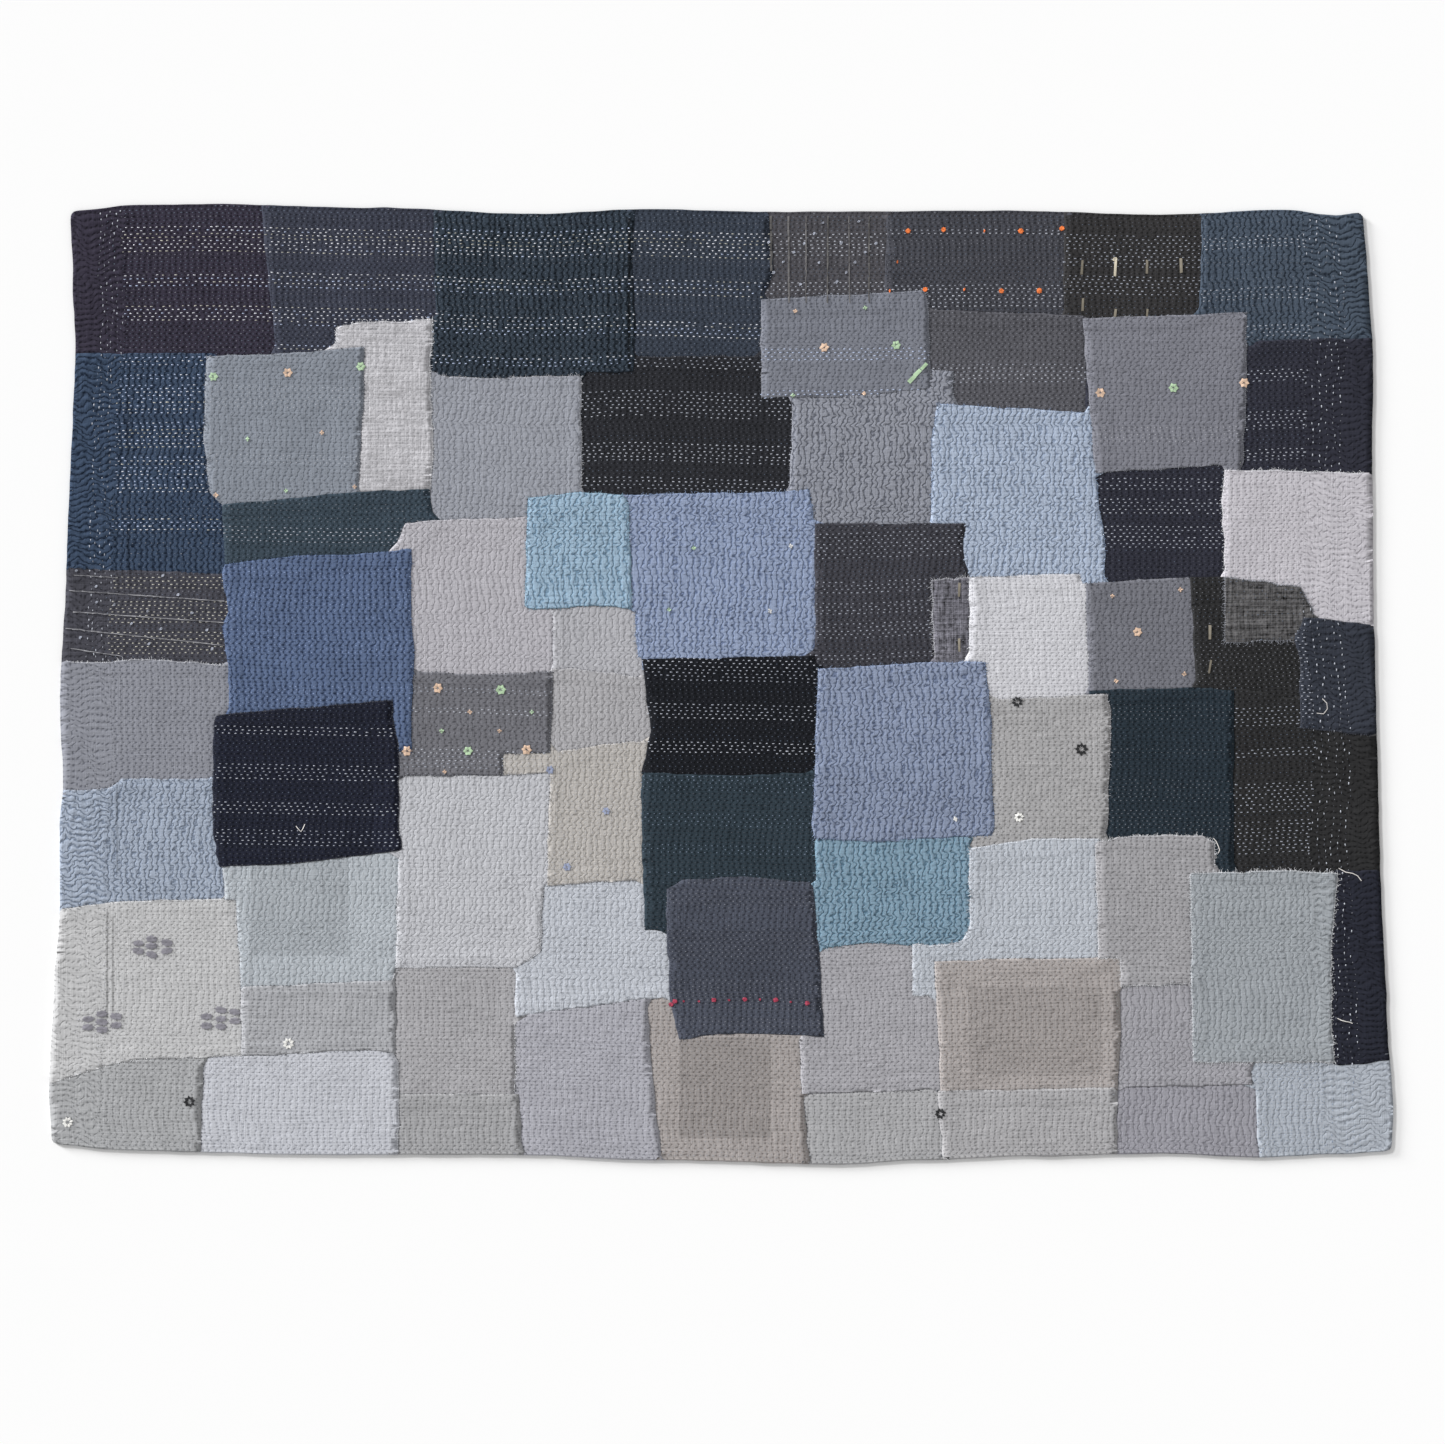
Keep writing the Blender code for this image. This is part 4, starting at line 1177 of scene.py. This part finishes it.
# Places in centimetres right of and above the quilt's centre, half sizes in mm, turns in degrees
MOTIFS = (
    Motif("flower", "peach", 8, 1, 0, (
        (-68.6, 49.4), (16.5, 53.4), (60.3, 46.2), (-44.8, -0.6), (-49.7, -10.6), (-30.7, -10.4),
        (83.1, 47.8), (66.2, 8.3),
    )),
    Motif("flower", "leaf", 8, 1, 0, (
        (-80.4, 48.8), (-57, 50.4), (27.9, 53.8), (71.9, 47), (-34.8, -0.9), (-40, -10.6),
    )),
    Motif("bud", "peach", 3.8, 1, 0, (
        (-63.2, 39.9), (-80, 30), (-58, 31.3), (11.9, 59.2), (22.8, 46.1), (-39.7, -4.4), (-35, -7.4),
        (-43.7, -13.9), (62.2, 14), (73, 15), (62.8, 0.5), (73.6, 1.6),
    )),
    Motif("bud", "leaf", 3.8, 1, 0, (
        (-68.9, 30.7), (-75, 38.9), (23, 59.7), (11.5, 45.8), (-29.9, -4.4), (-44.2, -7.4),
        (-4.2, 21.6), (-8.1, 11.8),
    )),
    Motif("bud", "cream", 3.6, 1.2, 20, (
        (11.2, 21.9), (7.9, 11.6), (37.3, -21.4),
    )),
    Motif("bar", "leaf", 7, 0.42, 48, (
        (30.4, 48.4), (31.3, 49.4), (32.3, 50.4),
    )),
    Motif("dot", "orange", 4.6, 1, 0, (
        (29.8, 71.9), (35.4, 72.1), (47.7, 71.9), (54.2, 72.3), (32.5, 62.6), (44.6, 62.4),
        (50.6, 62.4),
    )),
    Motif("dot", "orange", 3.0, 0.45, 80, (
        (41.9, 71.9), (26.9, 62.4), (38.7, 62.6), (28.1, 67),
    )),
    Motif("dot", "red", 4.4, 0.9, 0, (
        (-7.8, -50.8), (-7.2, -50.3), (-1, -50.1), (3.9, -50), (8.8, -50.1), (13.8, -50.6),
    )),
    Motif("dot", "red", 2, 1, 0, (
        (-5.8, -50.3), (-3.4, -50.3), (1.4, -50.1), (6.3, -50), (11.2, -50.4),
    )),
    Motif("dot", "ikat_white", 3.0, 0.7, 40, (
        (18.1, 74.8), (16.3, 73.2), (14.9, 71.5), (13.3, 69.9), (11.7, 68.5), (10, 67), (8.5, 65.3),
        (7.7, 70.1), (22, 73.4), (24.7, 69.9), (23, 68.5), (21.4, 66.9), (20, 65.3), (18.5, 63.8),
        (15.7, 66.9), (12.7, 63.4), (19.2, 70), (-102.1, 18.0), (-99.0, 15.5), (-96.1, 12.6),
        (-93.4, 9.6), (-90.6, 6.4), (-104.0, 10.2), (-101.5, 7.4), (-98.9, 13.0), (-88.4, 17.2),
        (-86.0, 14.2), (-83.8, 11.3), (-81.4, 8.6), (-90.8, 11.6), (-88.7, 8.8), (-80.6, 5.6),
    )),
    Motif("dot", "oval", 10.5, 0.55, -2, (
        (-92.3, -41.1), (-92.3, -42.3), (-90.2, -40.4), (-90.2, -41.5), (-90.2, -42.9), (-87.8, -41),
        (-87.8, -42.3), (-100.3, -53.1), (-100.3, -54.4), (-98.1, -52.3), (-98.1, -53.6),
        (-98.1, -54.8), (-95.8, -52.7), (-95.8, -54.1), (-81.5, -52.7), (-81.5, -54.2), (-79.2, -51.7),
        (-79.2, -53.1), (-79.2, -54.3), (-77, -52), (-77, -53.4),
    )),
    Motif("blossom", "cream", 9, 1, 20, (
        (47.4, -21.1), (-103.5, -69.5), (-68.5, -57.0),
    )),
    Motif("blossom", "ink", 10, 1, 10, (
        (47.1, -2.8), (57.3, -10.3), (-84.2, -66.2), (34.9, -68.1),
    )),
    Motif("flower", "lilac", 7, 1, 10, (
        (-27, -13.6), (-18.1, -20.1), (-24.3, -29),
    )),
    Motif("bar", "brush", 11, 0.17, 88, (
        (57.4, 66.1), (67.7, 66.2), (73.1, 66.4), (57.5, 60.2), (77.7, 8.2), (77.7, 2.8), (37.9, 15.0),
        (37.9, 6.2),
    )),
    Motif("bar", "bright_brush", 14, 0.16, 92, ((62.7, 66.0),)),
    Motif("dot", "bright_brush", 4, 0.9, 0, ((62.6, 67.4),)),
    Motif("bar", "brush", 6, 0.3, 84, ((62.7, 58.9), (67.7, 58.9))),
)
# Lines woven in the ikat pieces: where each starts and ends in centimetres right of and above the
# centre, and half the width in mm
OLD_LINES = (
    ("faint_stripe", (8.1, 66), (8.0, 74.8), 1.8), ("old_stripe", (10.9, 61), (10.8, 74.8), 1.4),
    ("old_stripe", (13.6, 61), (13.6, 74.8), 0.8), ("faint_stripe", (17.0, 61), (17.1, 74.8), 1.0),
    ("old_stripe", (20.5, 61), (20.4, 74.8), 0.8), ("faint_stripe", (23.6, 61), (23.6, 74.8), 0.9),
    ("worn_line", (-103.8, 14.9), (-79.2, 13.2), 0.7), ("worn_line", (-104.2, 11.6), (-79.2, 9.8), 0.7),
    ("worn_line", (-104.3, 8.9), (-79.2, 6.2), 0.7), ("worn_line", (-104.6, 5.9), (-95.3, 4.5), 0.6),
    ("worn_line", (-104.0, 17.4), (-96.0, 16.9), 0.5),
)


def petals(count, inner, width):
    """Returns the points and faces of a flower head of unit size with pointed petals."""
    points, faces = [], []
    for index in range(count):
        turn = 2 * math.pi * index / count
        first = len(points)
        for out, side, high in ((inner, 0, 0), (0.6, -width, 0), (1.0, 0, 0), (0.6, width, 0), (0.6, 0, 1)):
            x = out * math.cos(turn) - side * math.sin(turn)
            y = out * math.sin(turn) + side * math.cos(turn)
            points.append((x, y, high))
        faces += [(first, first + 1, first + 4), (first + 1, first + 2, first + 4)]
        faces += [(first + 2, first + 3, first + 4), (first + 3, first, first + 4)]
    return points, faces


MOTIF_SHAPES = {
    "flower": petals(6, 0.10, 0.38),
    "blossom": petals(8, 0.24, 0.27),
    "bud": petals(4, 0.0, 0.42),
    "dot": petals(8, 0.0, 0.40),
    "bar": (
        [(-1, -1, 0), (1, -1, 0), (1, 1, 0), (-1, 1, 0), (0, 0, 1)],
        [(0, 1, 4), (1, 2, 4), (2, 3, 4), (3, 0, 4)],
    ),
}
line_dashes = []
for colour, line_start, line_end, half in OLD_LINES:
    line_start, line_end = np.array(line_start, float), np.array(line_end, float)
    reach = float(np.hypot(*(line_end - line_start)))
    turn = math.degrees(math.atan2(*(line_end - line_start)[::-1]))
    shares = np.linspace(0, 1, int(reach) + 1)
    places = [tuple(line_start + (line_end - line_start) * share) for share in shares]
    line_dashes.append(Motif("bar", colour, 5.2, half / 5.2, turn, places))
for motif in MOTIFS + tuple(line_dashes):
    points, faces = MOTIF_SHAPES[motif.shape]
    shape = np.array(points, float)
    centres = np.array(motif.places) / 100
    centres = centres[depth_inside(centres, CLOTH_OUTLINE) > 0.008]
    sizes = motif.size / 1000 * draws.uniform(0.92, 1.08, len(centres))
    turns = np.radians(motif.turn) + draws.normal(0, 0.04 if motif.shape == "bar" else 0.12, len(centres))
    x = shape[None, :, 0] * sizes[:, None]
    y = shape[None, :, 1] * sizes[:, None] * motif.aspect
    placed = np.empty((len(centres), len(shape), 3))
    placed[..., 0] = centres[:, :1] + x * np.cos(turns)[:, None] - y * np.sin(turns)[:, None]
    placed[..., 1] = centres[:, 1:] + x * np.sin(turns)[:, None] + y * np.cos(turns)[:, None]
    placed[..., :2] += draws.normal(0, 0.0003, placed[..., :2].shape)
    ground_height = surface_at(placed[..., :2].reshape(-1, 2)).reshape(len(centres), -1)
    placed[..., 2] = ground_height + MOTIF_LIFT * (1 + 0.5 * shape[None, :, 2])
    name = "motif_%s_%s_%d_%d" % (motif.shape, motif.colour, round(motif.size * 10), len(centres))
    piece = many_copies(name, points, faces, placed)
    wears(piece, cotton_thread(piece.name, MOTIF_COLOURS[motif.colour]))

# Frayed edges
# Short ends of the pieces' own yarns along their raw edges, longer where an edge has frayed out.
FRAY_STATIONS = 4
FRAY_HALF_WIDTH = 0.00034
FRAY_LIFT = 0.0006
FRAY_FACES = [(2 * step, 2 * step + 1, 2 * step + 3, 2 * step + 2) for step in range(FRAY_STATIONS - 1)]
FRAY_COLOURS = {
    "white": "#d5d6da",
    "pale": "#b5b6bc",
    "grey": "#8f929b",
    "blue": "#7f93b4",
    "teal": "#7b9fb3",
    "denim": "#53698f",
    "dark": "#4a4c55",
}
# For each piece, the colour of its ends, the distance between them and their length, both in mm
FRAYED = {
    "light_upright": ("white", 1.6, 3.4), "grey_upright": ("pale", 2.2, 3.2),
    "periwinkle_top": ("blue", 2.2, 3.6), "cyan_small": ("teal", 2.8, 3.0),
    "light_blue_square": ("blue", 3.0, 3.0), "grey_dent": ("grey", 3.0, 3.0),
    "blue_denim": ("denim", 3.0, 2.6), "mauve_grey": ("pale", 3.2, 2.6),
    "flowered_left": ("grey", 3.4, 2.6), "flowered_top": ("grey", 3.4, 2.4),
    "flowered_right": ("grey", 3.4, 2.4), "warm_light_right": ("white", 1.8, 3.6),
    "heather_left": ("white", 2.0, 3.2), "white_square": ("white", 2.4, 2.8),
    "frayed_fragment": ("pale", 1.6, 4.5), "fern_fragment": ("grey", 1.8, 4.5),
    "grey_frayed": ("white", 2.0, 3.2), "pale_taupe": ("white", 1.8, 4.0),
    "green_grey_overlay": ("white", 1.7, 4.2), "periwinkle_low": ("blue", 2.6, 3.0),
    "teal_puffed": ("teal", 2.8, 3.0), "steel_light_left": ("pale", 3.0, 2.8),
    "mist_square": ("white", 2.6, 2.8), "oval_grey": ("white", 3.0, 2.6),
    "ice_strip": ("white", 2.2, 3.2), "beige_slant": ("pale", 2.8, 2.6),
    "navy_fragment": ("dark", 3.0, 3.0), "ink_overlay": ("dark", 2.6, 2.6),
    "slate_overlay": ("dark", 3.4, 2.2), "black_band": ("dark", 3.0, 2.4),
    "stone_small": ("pale", 3.4, 2.4), "stone_strip": ("pale", 3.4, 2.4),
    "flowered_dark": ("grey", 3.6, 2.2), "flowered_grey_green": ("pale", 3.2, 2.6),
    "pale_green_square": ("pale", 3.2, 2.6), "ice_bottom": ("white", 2.6, 2.8),
}


def loose_ends(plan, outward, length):
    """Returns the points of a thin curved end of yarn at each place."""
    count = len(plan)
    turn = draws.normal(0, 0.55, count)
    curl = draws.normal(0, 0.5, count)
    reach = length * np.clip(draws.gamma(3.0, 0.33, count), 0.3, 2.2)
    base = np.arctan2(outward[:, 1], outward[:, 0]) + turn
    placed = np.empty((count, 2 * FRAY_STATIONS, 3))
    spot = plan - 0.0015 * outward
    for step in range(FRAY_STATIONS):
        heading = base + curl * step
        half = FRAY_HALF_WIDTH * (1 - 0.45 * step / (FRAY_STATIONS - 1))
        side = np.stack((-np.sin(heading), np.cos(heading)), axis=1) * half
        placed[:, 2 * step, :2] = spot - side
        placed[:, 2 * step + 1, :2] = spot + side
        onward = np.stack((np.cos(heading), np.sin(heading)), axis=1)
        spot = spot + onward * (reach / (FRAY_STATIONS - 1))[:, None]
    height = surface_at(placed[..., :2].reshape(-1, 2)).reshape(count, -1)
    lying = np.maximum(height, height[:, :1] - FRAY_LIFT) + FRAY_LIFT
    placed[..., 2] = lying + draws.uniform(0, FRAY_LIFT, count)[:, None]
    return placed


fray_points = np.zeros((2 * FRAY_STATIONS, 3))
for colour_name, colour in FRAY_COLOURS.items():
    ends = []
    for index, patch in enumerate(PATCHES):
        wanted, spacing, length = FRAYED.get(patch.name, ("", 0, 0))
        if wanted == colour_name:
            found, outward = seen_edges(index, spacing / 1000, 0.010)
            ends.append(loose_ends(found, outward, length / 1000))
    piece = many_copies("fray_" + colour_name, fray_points, FRAY_FACES, np.concatenate(ends))
    wears(piece, cotton_thread("fray_" + colour_name, colour))

# Loose threads
# A few stray ends and loops of sewing thread that lie on the quilt, held only where they leave it.
LOOSE_THREADS = (
    # five points each, in centimetres right of and above the quilt's centre
    ((95.5, -2.3), (96.2, -3.0), (96.3, -3.9), (95.7, -4.7), (94.6, -4.6)),
    ((98.1, -29.2), (99.2, -29.8), (100.3, -30.0), (101.1, -30.4), (101.7, -31.2)),
    ((78.2, -24.4), (78.7, -25.0), (79.0, -25.7), (79.2, -26.3), (79.0, -26.8)),
    ((-67.3, -22.5), (-66.9, -23.0), (-66.5, -23.4), (-66.2, -22.9), (-65.9, -22.2)),
    ((97.9, -53.0), (98.5, -53.3), (99.2, -53.5), (99.8, -53.6), (100.3, -53.8)),
)
paths = np.array(LOOSE_THREADS) / 100
headings = np.gradient(paths, axis=1)
headings /= np.hypot(headings[..., 0], headings[..., 1])[..., None]
sides = 0.0006 * np.stack((-headings[..., 1], headings[..., 0]), axis=-1)
placed = np.zeros((len(paths), 10, 3))
placed[:, 0::2, :2] = paths - sides
placed[:, 1::2, :2] = paths + sides
placed[..., 2] = surface_at(placed[..., :2].reshape(-1, 2)).reshape(len(paths), -1) + 0.0012
faces = [(2 * step, 2 * step + 1, 2 * step + 3, 2 * step + 2) for step in range(4)]
piece = many_copies("loose_threads", np.zeros((10, 3)), faces, placed)
wears(piece, cotton_thread("loose_thread", "#e4e0dc"))
